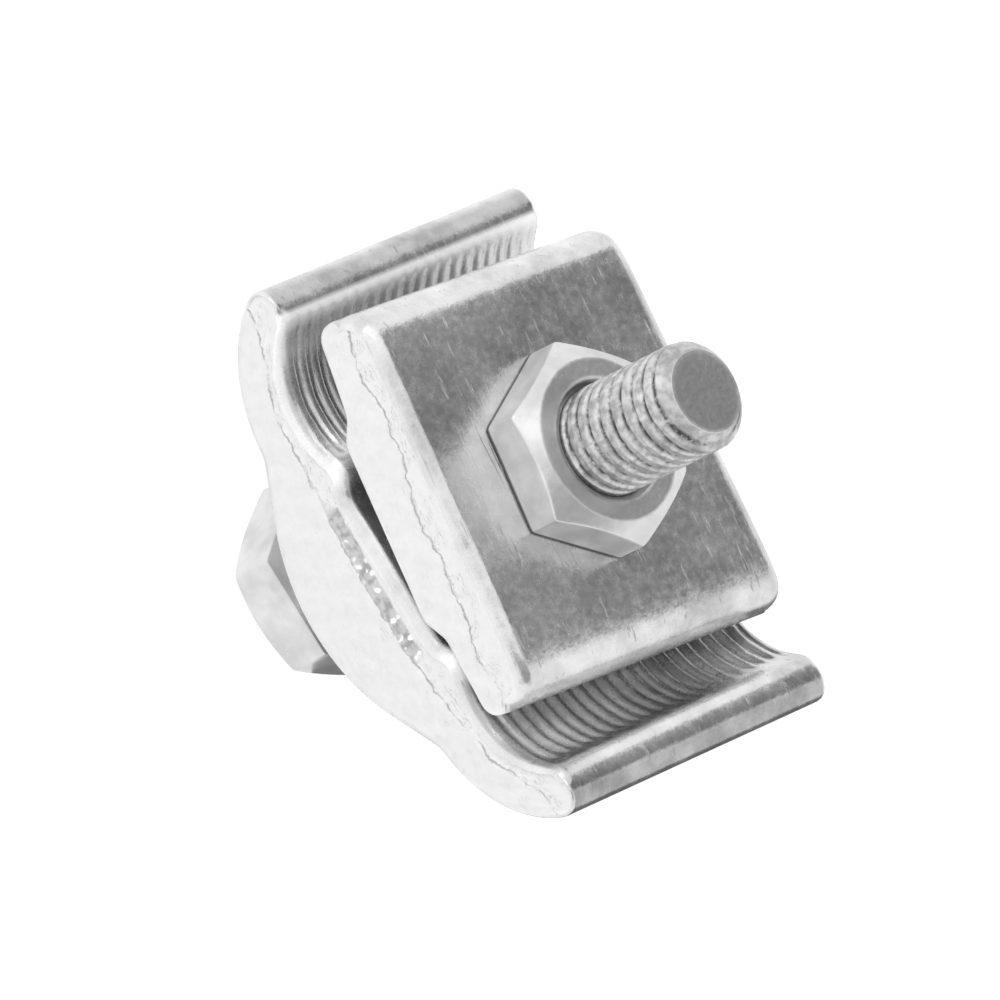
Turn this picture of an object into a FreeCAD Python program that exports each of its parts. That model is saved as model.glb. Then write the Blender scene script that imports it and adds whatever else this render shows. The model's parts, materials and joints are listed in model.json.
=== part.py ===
import FreeCAD, Part

import math
import os

import Sketcher

# Single-bolt parallel groove clamp: a thick rolled base jaw with two serrated grooves,
# a keeper plate, a hexagon head bolt and a thin hexagon nut.
# Frame: Z along the bolt, nut end up; X along the conductors; Y across the jaws.
# The origin is on the bolt's axis, at the bottom face of its head. Millimetres.

SIZES = [
    # hexagon head bolt
    ("bolt_diameter", 9.95, "thread major diameter of a zinc-coated M10"),
    ("bolt_length", 49.5, "under the head, an M10 x 50"),
    ("bolt_end_bevel", 1.3, "45 degree bevel on the thread's end"),
    ("head_flats", 16.7, "across flats of the head"),
    ("head_height", 5.6, "height of the head"),
    ("head_turn", 9.65, "turn of the head about the bolt, degrees"),
    # hexagon nut
    ("nut_flats", "=head_flats", "across flats of the nut, one spanner fits both"),
    ("nut_height", 4.7, "thin nut"),
    ("nut_turn", -1.6, "turn of the nut about the bolt, degrees"),
    ("nut_mouth_diameter", 10.9, "countersink at each end of the nut's bore"),
    ("hexagon_bevel_angle", 30.0, "bevel of the hexagon corners, degrees"),
    ("hexagon_face_share", 0.89, "round face over across flats, nut and head"),
    ("thread_clearance", 0.05, "radial, nut bore over bolt thread"),
    # keeper plate
    ("grip", 31.45, "bolt head seat to the keeper's top face, as photographed"),
    ("keeper_set_back", 0.25, "each end of the plate short of the base jaw's end"),
    ("keeper_width", 36.6, "across the jaws"),
    ("keeper_boss_thickness", 8.5, "middle of the plate"),
    ("keeper_root_thickness", 6.9, "wing where it leaves the boss"),
    ("keeper_tip_thickness", 6.2, "wing at its outer edge"),
    ("keeper_boss_width", 16.6, "underside of the boss"),
    ("keeper_step_width", 20.8, "boss where it meets the wings"),
    ("keeper_top_round", 3.0, "long top edges"),
    ("keeper_tip_round", 1.8, "long bottom edges"),
    ("keeper_step_round", 0.7, "corners of the boss"),
    ("keeper_end_round", 0.9, "sheared top edges at both ends"),
    ("keeper_far_skew", 3.2, "far end sheared out of square, degrees"),
    ("keeper_near_skew", 1.1, "near end sheared out of square, degrees"),
    ("keeper_turn", -2.1, "turn of the plate about the bolt, degrees"),
    ("keeper_hole_clearance", 0.5, "radial, hole over bolt"),
    # base jaw
    ("base_length", 33.0, "along the conductors"),
    ("base_middle_thickness", 12.1, "at the bolt slot"),
    ("base_lip_height", 17.3, "lip top over the belly's lowest line"),
    ("belly_radius", 18.0, "rounded underside in the middle"),
    ("belly_half_width", 9.5, "end of the rounded underside"),
    ("knee_half_width", 14.8, "where the straight flank meets the wing"),
    ("knee_height", 6.1, "height of that knee"),
    ("wing_radius", 13.4, "outside of the wing, about the groove"),
    ("lip_side_height", 15.2, "top of the wing's outside curve"),
    ("lip_thickness", 3.95, "top of each lip, from the groove outwards"),
    ("lip_outer_round", 1.9, "outer edge of each lip"),
    ("lip_inner_round", 1.5, "groove edge of each lip"),
    ("ridge_height", 13.3, "ridges either side of the bolt slot"),
    ("ridge_inner_half_width", 9.0, "inner edge of each ridge"),
    ("floor_half_width", 7.4, "flat floor between the ridges"),
    ("ridge_round", 0.7, "edges of each ridge"),
    ("groove_radius", 8.6, "conductor groove over the serration tops"),
    ("groove_offset", 14.6, "groove axis from the middle"),
    ("groove_axis_height", 20.8, "groove axis over the belly's lowest line"),
    ("shear_roll", 0.65, "edge rolled down by the shear at the near end"),
    ("serration_pitch", 1.5, "along the conductors"),
    ("serration_width", 1.15, "width of each cut at the surface"),
    ("serration_depth", 0.55, "depth of each cut"),
    ("serration_margin", 2.1, "end of the jaw to the first cut"),
    ("serration_run_out", 62.0, "cuts fade out this far round from the groove's bottom"),
    ("slot_clearance", 0.55, "each side of the bolt, along the conductors"),
    ("slot_length", 20.0, "across the jaws, lets the base rock and shift"),
    ("jaw_gap", 1.43, "keeper boss to base floor when the jaws are level"),
    ("rock_height", 4.46, "rocking centre over the keeper's top face"),
    ("base_tilt", 9.7, "base cocked on the bolt as photographed, degrees"),
]

# lengths that follow from the sizes
KEEPER_LENGTH = "(@base_length - 2 * @keeper_set_back)"
KEEPER_TOP = "(@head_height + @grip)"
GROOVE_EDGE = ("(@groove_offset + sqrt(@groove_radius^2"
               " - (@groove_axis_height - @base_lip_height)^2))")
RIDGE_EDGE = ("(@groove_offset - sqrt(@groove_radius^2"
              " - (@groove_axis_height - @ridge_height)^2))")
BASE_EDGE = "(%s + @lip_thickness)" % GROOVE_EDGE
BELLY_RISE = "(@belly_radius - sqrt(@belly_radius^2 - @belly_half_width^2))"
CUTTER_DROP = "(@serration_depth / (1 - cos(@serration_run_out * 1 deg)))"

document = FreeCAD.newDocument("parallel_groove_clamp")


def fill_sheet():
    """One row a driving size: name, value, note."""
    sheet = document.addObject("Spreadsheet::Sheet", "Sizes")
    for row, (alias, value, note) in enumerate(SIZES, start=1):
        sheet.set("A%d" % row, alias)
        sheet.set("B%d" % row, str(value))
        sheet.set("C%d" % row, note)
        sheet.setAlias("B%d" % row, alias)
    document.recompute()
    return sheet


sheet = fill_sheet()


def size(alias):
    """The present value of a size."""
    return float(getattr(sheet, alias))


def named(text):
    """An expression with its sizes, written as @name, looked up in the sheet."""
    return text.replace("@", "Sizes.")


def new_body(label):
    body = document.addObject("PartDesign::Body", label)
    body.Label = label
    return body


def origin_feature(body, role):
    """A plane or axis of the body's own origin."""
    for feature in body.Origin.OriginFeatures:
        if feature.Role == role:
            return feature
    raise RuntimeError("no " + role)


def new_sketch(body, name, role):
    sketch = body.newObject("Sketcher::SketchObject", name)
    sketch.AttachmentSupport = [(origin_feature(body, role), "")]
    sketch.MapMode = "FlatFace"
    return sketch


def value_of(text):
    """A size expression worked out now, for a sketch's first drawing."""
    result = sheet.evalExpression(named(text))
    return float(getattr(result, "Value", result))


def place_point(sketch, element, end, across, up):
    """Tie a sketch point to its distances from the sketch's origin."""
    for kind, text in (("DistanceX", across), ("DistanceY", up)):
        if text == "0":
            axis = -2 if kind == "DistanceX" else -1
            sketch.addConstraint(Sketcher.Constraint("PointOnObject", element, end, axis))
            continue
        index = sketch.addConstraint(
            Sketcher.Constraint(kind, -1, 1, element, end, value_of(text)))
        sketch.setExpression("Constraints[%d]" % index, named(text))


def draw_outline(sketch, corners):
    """A closed outline. Each corner is (across, up, side to the next corner).

    A side is None for a straight line, or (radius, sense) for an arc: sense +1 bulges
    to the right of the way of travel and -1 to the left.
    """
    points = [(value_of(a), value_of(b)) for a, b, _ in corners]
    count = len(corners)
    for index, (_, _, side) in enumerate(corners):
        start, end = points[index], points[(index + 1) % count]
        first = FreeCAD.Vector(start[0], start[1], 0)
        last = FreeCAD.Vector(end[0], end[1], 0)
        if side is None:
            sketch.addGeometry(Part.LineSegment(first, last), False)
            continue
        radius, sense = value_of(side[0]), side[1]
        chord = last - first
        half = chord.Length / 2
        normal = FreeCAD.Vector(chord.y, -chord.x, 0).normalize()
        bulge = radius - math.sqrt(radius * radius - half * half)
        middle = (first + last) * 0.5 + normal * (sense * bulge)
        sketch.addGeometry(Part.Arc(first, middle, last), False)
    tails = [end_of(sketch, index, points[index]) for index in range(count)]
    for index in range(count):
        following = (index + 1) % count
        sketch.addConstraint(Sketcher.Constraint(
            "Coincident", index, 3 - tails[index], following, tails[following]))
    for index, (across, up, side) in enumerate(corners):
        place_point(sketch, index, tails[index], across, up)
        if side is not None:
            number = sketch.addConstraint(
                Sketcher.Constraint("Radius", index, value_of(side[0])))
            sketch.setExpression("Constraints[%d]" % number, named(side[0]))


def end_of(sketch, index, point):
    """1 or 2: which end of a sketch element lies at the point."""
    start = sketch.getPoint(index, 1)
    return 1 if math.hypot(start.x - point[0], start.y - point[1]) < 1e-6 else 2


def pad_both_ways(body, sketch, name, length):
    pad = body.newObject("PartDesign::Pad", name)
    pad.Profile = sketch
    pad.SideType = "Symmetric"
    pad.setExpression("Length", named(length))
    return pad


def mirror_across(body, original, name, role):
    mirrored = body.newObject("PartDesign::Mirrored", name)
    mirrored.Originals = [original]
    mirrored.MirrorPlane = (origin_feature(body, role), [""])
    body.Tip = mirrored
    document.recompute()
    return mirrored


def edges_where(feature, test):
    """Names of the feature's edges whose two ends and middle all pass the test."""
    names = []
    for number, edge in enumerate(feature.Shape.Edges, start=1):
        first, last = edge.ParameterRange
        probes = [edge.valueAt(first), edge.valueAt((first + last) / 2), edge.valueAt(last)]
        if all(test(point) for point in probes):
            names.append("Edge%d" % number)
    return names


def round_edges(body, base, name, radius, test):
    fillet = body.newObject("PartDesign::Fillet", name)
    names = edges_where(base, test)
    if not names:
        raise RuntimeError("no edge for " + name)
    fillet.Base = (base, names)
    fillet.setExpression("Radius", named(radius))
    body.Tip = fillet
    document.recompute()
    return fillet


def near_line(across, up):
    """Test for edges along X that lie at (across, up) or at its mirror image."""
    y, z = value_of(across), value_of(up)

    def test(point):
        return abs(abs(point.y) - y) < 0.05 and abs(point.z - z) < 0.05
    return test


def cut_through(body, sketch, name):
    """A pocket that goes right through, both ways."""
    before = body.Shape.Volume
    pocket = body.newObject("PartDesign::Pocket", name)
    pocket.Profile = sketch
    pocket.SideType = "Symmetric"
    pocket.Length = 400
    body.Tip = pocket
    document.recompute()
    if pocket.Shape.Volume >= before:
        raise RuntimeError(name + " cuts nothing")
    return pocket


def make_base():
    """Rolled section, sheared to length, punched for the bolt and serrated."""
    body = new_body("base_jaw")
    outline = new_sketch(body, "base_outline", "YZ_Plane")
    draw_outline(outline, [
        ("0", "0", ("@belly_radius", 1)),
        ("@belly_half_width", BELLY_RISE, None),
        ("@knee_half_width", "@knee_height", ("@wing_radius", 1)),
        (BASE_EDGE, "@lip_side_height", None),
        (BASE_EDGE, "@base_lip_height", None),
        (GROOVE_EDGE, "@base_lip_height", ("@groove_radius", -1)),
        (RIDGE_EDGE, "@ridge_height", None),
        ("@ridge_inner_half_width", "@ridge_height", None),
        ("@floor_half_width", "@base_middle_thickness", None),
        ("0", "@base_middle_thickness", None),
    ])
    half = pad_both_ways(body, outline, "base_half", "@base_length")
    whole = mirror_across(body, half, "base_whole", "XZ_Plane")

    lip = round_edges(body, whole, "lip_outer", "@lip_outer_round",
                      near_line(BASE_EDGE, "@base_lip_height"))
    lip = round_edges(body, lip, "lip_inner", "@lip_inner_round",
                      near_line(GROOVE_EDGE, "@base_lip_height"))
    ridge = round_edges(body, lip, "ridge_outer", "@ridge_round",
                        near_line(RIDGE_EDGE, "@ridge_height"))
    ridge = round_edges(body, ridge, "ridge_inner", "@ridge_round",
                        near_line("@ridge_inner_half_width", "@ridge_height"))

    near_end = value_of("-@base_length / 2")
    inner_low = value_of("(@groove_axis_height - @groove_radius + @knee_height) / 2")
    inner_side = value_of(BASE_EDGE + " - @lip_outer_round")

    def on_rolled_edge(point):
        return (abs(point.x - near_end) < 1e-4 and point.z > inner_low
                and abs(point.y) < inner_side and above_wing(point))

    def above_wing(point):
        """True on the groove side of the middle of the wing's thickness."""
        across = abs(point.y) - value_of("@groove_offset")
        up = point.z - value_of("@groove_axis_height")
        middle = value_of("(@groove_radius + @wing_radius) / 2")
        return math.hypot(across, up) < middle or abs(point.y) < value_of("@groove_offset")

    rolled = round_edges(body, ridge, "sheared_edge", "@shear_roll", on_rolled_edge)
    body.Tip = rolled

    slot = new_sketch(body, "slot_outline", "XY_Plane")
    draw_slot(slot, "@bolt_diameter / 2 + @slot_clearance", "@slot_length / 2")
    cut_through(body, slot, "bolt_slot")

    cut_serrations(body)
    tilt = "@base_tilt"
    reach = "(@keeper_boss_thickness + @jaw_gap + @base_middle_thickness + @rock_height)"
    body.Placement.Rotation = FreeCAD.Rotation(FreeCAD.Vector(-1, 0, 0), size("base_tilt"))
    body.setExpression("Placement.Base.y", named("-sin(%s * 1 deg) * %s" % (tilt, reach)))
    body.setExpression("Placement.Base.z", named(
        "%s + @rock_height - cos(%s * 1 deg) * %s" % (KEEPER_TOP, tilt, reach)))
    body.setExpression("Placement.Rotation.Angle", named(tilt + " * 1 deg"))
    return body


def draw_slot(sketch, radius, half_length):
    """A slot across the jaw with round ends, centred on the origin."""
    r, far = value_of(radius), value_of(half_length)
    centre = far - r
    up, down = FreeCAD.Vector(0, centre, 0), FreeCAD.Vector(0, -centre, 0)
    axis = FreeCAD.Vector(0, 0, 1)
    sketch.addGeometry(Part.ArcOfCircle(Part.Circle(up, axis, r), 0, math.pi), False)
    sketch.addGeometry(Part.ArcOfCircle(Part.Circle(down, axis, r), math.pi, 2 * math.pi), False)
    sketch.addGeometry(Part.LineSegment(up + FreeCAD.Vector(-r, 0, 0),
                                        down + FreeCAD.Vector(-r, 0, 0)), False)
    sketch.addGeometry(Part.LineSegment(down + FreeCAD.Vector(r, 0, 0),
                                        up + FreeCAD.Vector(r, 0, 0)), False)
    for joint in ((0, 2, 2, 1), (2, 2, 1, 1), (1, 2, 3, 1), (3, 2, 0, 1)):
        sketch.addConstraint(Sketcher.Constraint("Tangent", *joint))
    sketch.addConstraint(Sketcher.Constraint("Equal", 0, 1))
    sketch.addConstraint(Sketcher.Constraint("PointOnObject", 0, 3, -2))
    sketch.addConstraint(Sketcher.Constraint("Symmetric", 0, 3, 1, 3, -1, 1))
    number = sketch.addConstraint(Sketcher.Constraint("Radius", 0, r))
    sketch.setExpression("Constraints[%d]" % number, named(radius))
    number = sketch.addConstraint(Sketcher.Constraint("DistanceY", 1, 3, 0, 3, 2 * centre))
    sketch.setExpression("Constraints[%d]" % number, named(
        "2 * (%s) - 2 * (%s)" % (half_length, radius)))


def cut_serrations(body):
    """V cuts round each groove, repeated along it and mirrored to the other groove.

    The cutter's axis lies under the groove's, so each cut runs out before the lip.
    """
    sketch = new_sketch(body, "serration_outline", "XZ_Plane")
    sketch.setExpression("AttachmentOffset.Base.x", named("-@base_length / 2 + @serration_margin"))
    sketch.setExpression("AttachmentOffset.Base.y", named("@groove_axis_height - " + CUTTER_DROP))
    sketch.setExpression("AttachmentOffset.Base.z", named("-@groove_offset"))
    document.recompute()
    inside = "(@groove_radius - @serration_depth - %s)" % CUTTER_DROP
    draw_outline(sketch, [
        ("@serration_width", inside, None),
        ("0", "@groove_radius + @serration_depth - " + CUTTER_DROP, None),
        ("-@serration_width", inside, None),
    ])
    groove = body.newObject("PartDesign::Groove", "serration")
    groove.Profile = sketch
    groove.ReferenceAxis = (sketch, ["H_Axis"])
    groove.Angle = 360
    body.Tip = groove
    document.recompute()

    pattern = body.newObject("PartDesign::MultiTransform", "serrations")
    along = body.newObject("PartDesign::LinearPattern", "serration_pattern")
    along.Direction = (origin_feature(body, "X_Axis"), [""])
    count = "(floor((@base_length - 2 * @serration_margin) / @serration_pitch) + 1)"
    along.setExpression("Occurrences", named(count))
    along.setExpression("Length", named("(%s - 1) * @serration_pitch" % count))
    across = body.newObject("PartDesign::Mirrored", "serration_mirror")
    across.MirrorPlane = (origin_feature(body, "XZ_Plane"), [""])
    pattern.Originals = [groove]
    pattern.Transformations = [along, across]
    body.Tip = pattern
    document.recompute()


def make_keeper():
    """Rolled section with a boss underneath, sheared to length and punched."""
    body = new_body("keeper_plate")
    outline = new_sketch(body, "keeper_outline", "YZ_Plane")
    draw_outline(outline, [
        ("0", "0", None),
        ("@keeper_boss_width / 2", "0", None),
        ("@keeper_step_width / 2", "@keeper_boss_thickness - @keeper_root_thickness", None),
        ("@keeper_width / 2", "@keeper_boss_thickness - @keeper_tip_thickness", None),
        ("@keeper_width / 2", "@keeper_boss_thickness", None),
        ("0", "@keeper_boss_thickness", None),
    ])
    half = pad_both_ways(body, outline, "keeper_half",
                         KEEPER_LENGTH + " + 2 * @keeper_width * tan(@keeper_far_skew * 1 deg)")
    bar = mirror_across(body, half, "keeper_whole", "XZ_Plane")
    bar = round_edges(body, bar, "keeper_top", "@keeper_top_round",
                      near_line("@keeper_width / 2", "@keeper_boss_thickness"))
    bar = round_edges(body, bar, "keeper_tip", "@keeper_tip_round",
                      near_line("@keeper_width / 2", "@keeper_boss_thickness - @keeper_tip_thickness"))
    bar = round_edges(body, bar, "keeper_boss", "@keeper_step_round",
                      near_line("@keeper_boss_width / 2", "0"))
    bar = round_edges(body, bar, "keeper_step", "@keeper_step_round",
                      near_line("@keeper_step_width / 2",
                                "@keeper_boss_thickness - @keeper_root_thickness"))
    cut_keeper_end(body, "far_end", "@keeper_far_skew", 1)
    cut_keeper_end(body, "near_end", "@keeper_near_skew", -1)
    hole = new_sketch(body, "hole_outline", "XY_Plane")
    radius = "@bolt_diameter / 2 + @keeper_hole_clearance"
    hole.addGeometry(Part.Circle(FreeCAD.Vector(0, 0, 0), FreeCAD.Vector(0, 0, 1),
                                 value_of(radius)), False)
    hole.addConstraint(Sketcher.Constraint("Coincident", 0, 3, -1, 1))
    number = hole.addConstraint(Sketcher.Constraint("Radius", 0, value_of(radius)))
    hole.setExpression("Constraints[%d]" % number, named(radius))
    cut_through(body, hole, "bolt_hole")
    body.Placement.Rotation = FreeCAD.Rotation(FreeCAD.Vector(0, 0, 1), size("keeper_turn"))
    body.setExpression("Placement.Base.z",
                       named(KEEPER_TOP + " - @keeper_boss_thickness"))
    body.setExpression("Placement.Rotation.Angle", named("@keeper_turn * 1 deg"))
    return body


def cut_keeper_end(body, name, skew, side):
    """Shear one end of the bar: a plane across it, rounded over at the top face."""
    sketch = new_sketch(body, name + "_outline", "XZ_Plane")
    sketch.AttachmentOffset = FreeCAD.Placement(
        FreeCAD.Vector(side * value_of(KEEPER_LENGTH) / 2, 0, 0),
        FreeCAD.Rotation(FreeCAD.Vector(0, 1, 0), value_of(skew)))
    sketch.setExpression("AttachmentOffset.Base.x", named("%d * %s / 2" % (side, KEEPER_LENGTH)))
    sketch.setExpression("AttachmentOffset.Rotation.Angle", named(skew + " * 1 deg"))
    document.recompute()
    beyond = "%d * @keeper_width" % side
    inset = "%d * @keeper_end_round" % -side
    over = "@keeper_boss_thickness + @keeper_end_round"
    under = "-@keeper_end_round"
    draw_outline(sketch, [
        ("0", under, None),
        (beyond, under, None),
        (beyond, over, None),
        (inset, over, None),
        (inset, "@keeper_boss_thickness", ("@keeper_end_round", -side)),
        ("0", "@keeper_boss_thickness - @keeper_end_round", None),
    ])
    return cut_through(body, sketch, name)


def make_primitive(kind, label, **sizes):
    """A Part primitive with each property bound to its expression."""
    item = document.addObject(kind, label)
    item.Label = label
    for name, text in sizes.items():
        item.setExpression(name.replace("__", "."), named(text))
    return item


def make_bolt():
    """Hexagon head, shank and bevelled end on one axis, head face at zero height."""
    prism = make_primitive("Part::Prism", "head_hexagon",
                           Circumradius="@head_flats / 2 / cos(30 deg)", Height="@head_height")
    prism.Polygon = 6
    bevel = make_primitive(
        "Part::Cone", "head_bevel", Radius1="@head_flats / 2 * @hexagon_face_share",
        Radius2="@head_flats / 2 * @hexagon_face_share"
                " + @head_height / tan(@hexagon_bevel_angle * 1 deg)",
        Height="@head_height")
    head = document.addObject("Part::MultiCommon", "bolt_head")
    head.Shapes = [prism, bevel]
    shank = make_primitive("Part::Cylinder", "bolt_shank", Radius="@bolt_diameter / 2",
                           Height="@head_height + @bolt_length - @bolt_end_bevel")
    end = make_primitive("Part::Cone", "bolt_point", Radius1="@bolt_diameter / 2",
                         Radius2="@bolt_diameter / 2 - @bolt_end_bevel",
                         Height="@bolt_end_bevel",
                         Placement__Base__z="@head_height + @bolt_length - @bolt_end_bevel")
    bolt = document.addObject("Part::MultiFuse", "hex_bolt")
    bolt.Label = "hex_bolt"
    bolt.Shapes = [head, shank, end]
    bolt.Refine = True
    bolt.Placement.Rotation = FreeCAD.Rotation(FreeCAD.Vector(0, 0, 1), size("head_turn"))
    bolt.setExpression("Placement.Rotation.Angle", named("@head_turn * 1 deg"))
    return bolt


def make_nut():
    """Thin hexagon nut, corners bevelled at its outer face only."""
    prism = make_primitive("Part::Prism", "nut_hexagon",
                           Circumradius="@nut_flats / 2 / cos(30 deg)", Height="@nut_height")
    prism.Polygon = 6
    bevel = make_primitive(
        "Part::Cone", "nut_bevel",
        Radius1="@nut_flats / 2 * @hexagon_face_share"
                " + @nut_height / tan(@hexagon_bevel_angle * 1 deg)",
        Radius2="@nut_flats / 2 * @hexagon_face_share", Height="@nut_height")
    blank = document.addObject("Part::MultiCommon", "nut_blank")
    blank.Shapes = [prism, bevel]
    bore = "(@bolt_diameter / 2 + @thread_clearance)"
    mouth = "(@nut_mouth_diameter / 2)"
    hole = make_primitive("Part::Cylinder", "nut_bore", Radius=bore, Height="@nut_height")
    lower = make_primitive("Part::Cone", "nut_lower_mouth", Radius1=mouth, Radius2=bore,
                           Height="%s - %s" % (mouth, bore))
    upper = make_primitive("Part::Cone", "nut_upper_mouth", Radius1=bore, Radius2=mouth,
                           Height="%s - %s" % (mouth, bore),
                           Placement__Base__z="@nut_height - (%s - %s)" % (mouth, bore))
    cutter = document.addObject("Part::MultiFuse", "nut_cutter")
    cutter.Shapes = [hole, lower, upper]
    nut = document.addObject("Part::Cut", "hex_nut")
    nut.Label = "hex_nut"
    nut.Base = blank
    nut.Tool = cutter
    nut.Placement.Rotation = FreeCAD.Rotation(FreeCAD.Vector(0, 0, 1), size("nut_turn"))
    nut.setExpression("Placement.Base.z", named(KEEPER_TOP))
    nut.setExpression("Placement.Rotation.Angle", named("@nut_turn * 1 deg"))
    return nut


pieces = [make_base(), make_keeper(), make_bolt(), make_nut()]
document.recompute()

failed = [item.Label for item in document.Objects
          if "Invalid" in item.State or "Error" in item.State]
if failed:
    raise RuntimeError("failed: " + ", ".join(failed))
for piece in pieces:
    shape = piece.Shape
    if not shape.isValid() or len(shape.Solids) != 1:
        raise RuntimeError("%s isn't one valid solid" % piece.Label)

os.makedirs("parts", exist_ok=True)
for piece in pieces:
    print(piece.Label, round(piece.Shape.Volume, 1), piece.Shape.BoundBox)
    piece.Shape.exportStep("parts/%s.step" % piece.Label)
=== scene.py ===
import json
import math
from types import SimpleNamespace

import bmesh
import bpy
import numpy as np
from bpy.props import FloatProperty, FloatVectorProperty, IntProperty, PointerProperty
from mathutils import Matrix, Vector


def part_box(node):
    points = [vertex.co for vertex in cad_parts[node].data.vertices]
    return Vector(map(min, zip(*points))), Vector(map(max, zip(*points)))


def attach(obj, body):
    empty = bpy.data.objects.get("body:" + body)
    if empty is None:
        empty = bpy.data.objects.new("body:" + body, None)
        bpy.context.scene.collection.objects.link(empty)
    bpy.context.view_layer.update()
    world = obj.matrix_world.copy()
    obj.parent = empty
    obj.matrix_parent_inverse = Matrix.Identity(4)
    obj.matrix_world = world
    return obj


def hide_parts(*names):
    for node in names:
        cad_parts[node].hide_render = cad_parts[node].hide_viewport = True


bl_info = {
    "name": "Parallel groove clamp",
    "version": (1, 0, 0),
    "blender": (4, 5, 0),
    "location": "View3D > Sidebar > Clamp",
    "description": "Galvanised single-bolt parallel groove clamp, cocked open on its bolt",
    "category": "Object",
}

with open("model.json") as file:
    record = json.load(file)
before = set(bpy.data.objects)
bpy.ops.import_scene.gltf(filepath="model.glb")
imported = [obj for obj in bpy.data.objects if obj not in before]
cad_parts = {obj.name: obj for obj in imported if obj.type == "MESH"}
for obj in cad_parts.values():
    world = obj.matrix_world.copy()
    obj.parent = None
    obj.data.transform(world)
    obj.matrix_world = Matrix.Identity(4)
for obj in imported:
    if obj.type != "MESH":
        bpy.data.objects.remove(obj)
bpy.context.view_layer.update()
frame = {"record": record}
MM = 0.001

MOUNTS = {mount["name"]: mount for mount in frame["record"]["mounts"]}
KEEPER_TOP_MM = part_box("keeper_plate")[1][2] / MM
NUT_TOP_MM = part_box("hex_nut")[1][2] / MM
BOLT_TOP_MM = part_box("hex_bolt")[1][2] / MM
# Height of the bolt head, from its outer face to its seat
HEAD_SEAT_MM = 5.6

# Points on each half of a jaw's outline, and on the path that is smoothed for it
BASE_HALF_POINTS = 58
KEEPER_HALF_POINTS = 52
DENSE_POINTS = 1500
# How widely the outlines' corners are softened
BASE_TOP_SOFT_MM = 0.38
BASE_BELLY_SOFT_MM = 0.45
KEEPER_SOFT_MM = 0.3
# Flat of the keeper's side over the round of its tip
KEEPER_SIDE_FLAT_MM = 0.6
# Rows of points on a sheared end, and steps of the quarter round at its edge
END_ROWS = 34
EDGE_STEPS = (0.0, 0.35, 0.7, 1.0)
# Radius of that quarter round
BASE_EDGE_ROUND_MM = 0.22
KEEPER_EDGE_ROUND_MM = 0.2
# How far the rubbed edges reach from the ends
WORN_REACH_MM = 0.6
# A shear line this far away draws nothing
FAR_FROM_LINE = -9.0
# How far the serrations wander from their places
SERRATION_WANDER_MM = 0.6
# How much the hexagons' corners are cut off, and how sharply they turn
CORNER_BLUNT_MM = 0.06
CORNER_KEENNESS = 22
# Air between thread and nut, spacing of the thread's rings, and how much thinner
# than the thread the plain shank is
NUT_THREAD_AIR_MM = 0.03
THREAD_RING_MM = 0.1
SHANK_UNDER_MM = 0.05
# Faces that meet at more than this angle keep a sharp edge
SHARP_ANGLE = math.radians(38)
# In metres: where the thread reaches its full depth, and the relief of the zinc's grain
THREAD_RUN_IN = 0.002
BUMP_DEPTH = 0.00005


# Properties

def mm(name, default, description):
    return FloatProperty(name=name, description=description, default=default * MM,
                         precision=5, unit="LENGTH")


def turn(name, default, description):
    return FloatProperty(name=name, description=description, default=math.radians(default),
                         subtype="ANGLE")


def tint(name, default, description):
    return FloatVectorProperty(name=name, description=description, default=default,
                               size=3, subtype="COLOR", min=0, max=1)


class ClampBaseSizes(bpy.types.PropertyGroup):
    """Sizes of the base jaw, in its own frame: Y across, Z up from its belly."""
    length: mm("Length", 33.0, "Along the conductors")
    floor_height: mm("Floor height", 12.1, "Thickness at the bolt slot")
    floor_half: mm("Floor half width", 7.4, "Flat floor between the ridges")
    ridge_height: mm("Ridge height", 13.3, "Ridges beside the floor")
    ridge_half: mm("Ridge half width", 9.0, "Inner edge of each ridge")
    groove_radius: mm("Groove radius", 8.6, "Conductor groove over the serrations")
    groove_offset: mm("Groove offset", 14.6, "Groove axis from the middle")
    groove_axis: mm("Groove axis height", 20.8, "Groove axis over the belly")
    lip_height: mm("Lip height", 17.3, "Top of each lip")
    lip_thickness: mm("Lip thickness", 3.95, "Groove edge to outer side")
    lip_round: mm("Lip round", 1.9, "Outer edge of each lip")
    lip_inner_round: mm("Lip inner round", 1.7, "Groove edge of each lip")
    lip_side: mm("Lip side height", 15.2, "Where the wing's outer curve ends")
    wing_radius: mm("Wing radius", 13.4, "Outer curve of each wing")
    knee_half: mm("Knee half width", 14.8, "Where flank and wing meet")
    knee_height: mm("Knee height", 6.1, "Where flank and wing meet")
    belly_radius: mm("Belly radius", 18.0, "Rounded underside")
    belly_half: mm("Belly half width", 9.5, "End of the rounded underside")
    slot_half: mm("Slot half length", 10.0, "Bolt slot, across the jaw")
    slot_radius: mm("Slot radius", 5.525, "Half the bolt slot's width")
    serration_pitch: mm("Serration pitch", 1.5, "Along the conductors")
    serration_depth: mm("Serration depth", 0.42, "With the zinc in them")
    first_serration: mm("First serration", 2.1, "From the near end")
    roll_depth: mm("Edge roll depth", 0.95, "Near end, pulled down by the shear")
    roll_length: mm("Edge roll length", 1.2, "Near end, pulled down by the shear")


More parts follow.
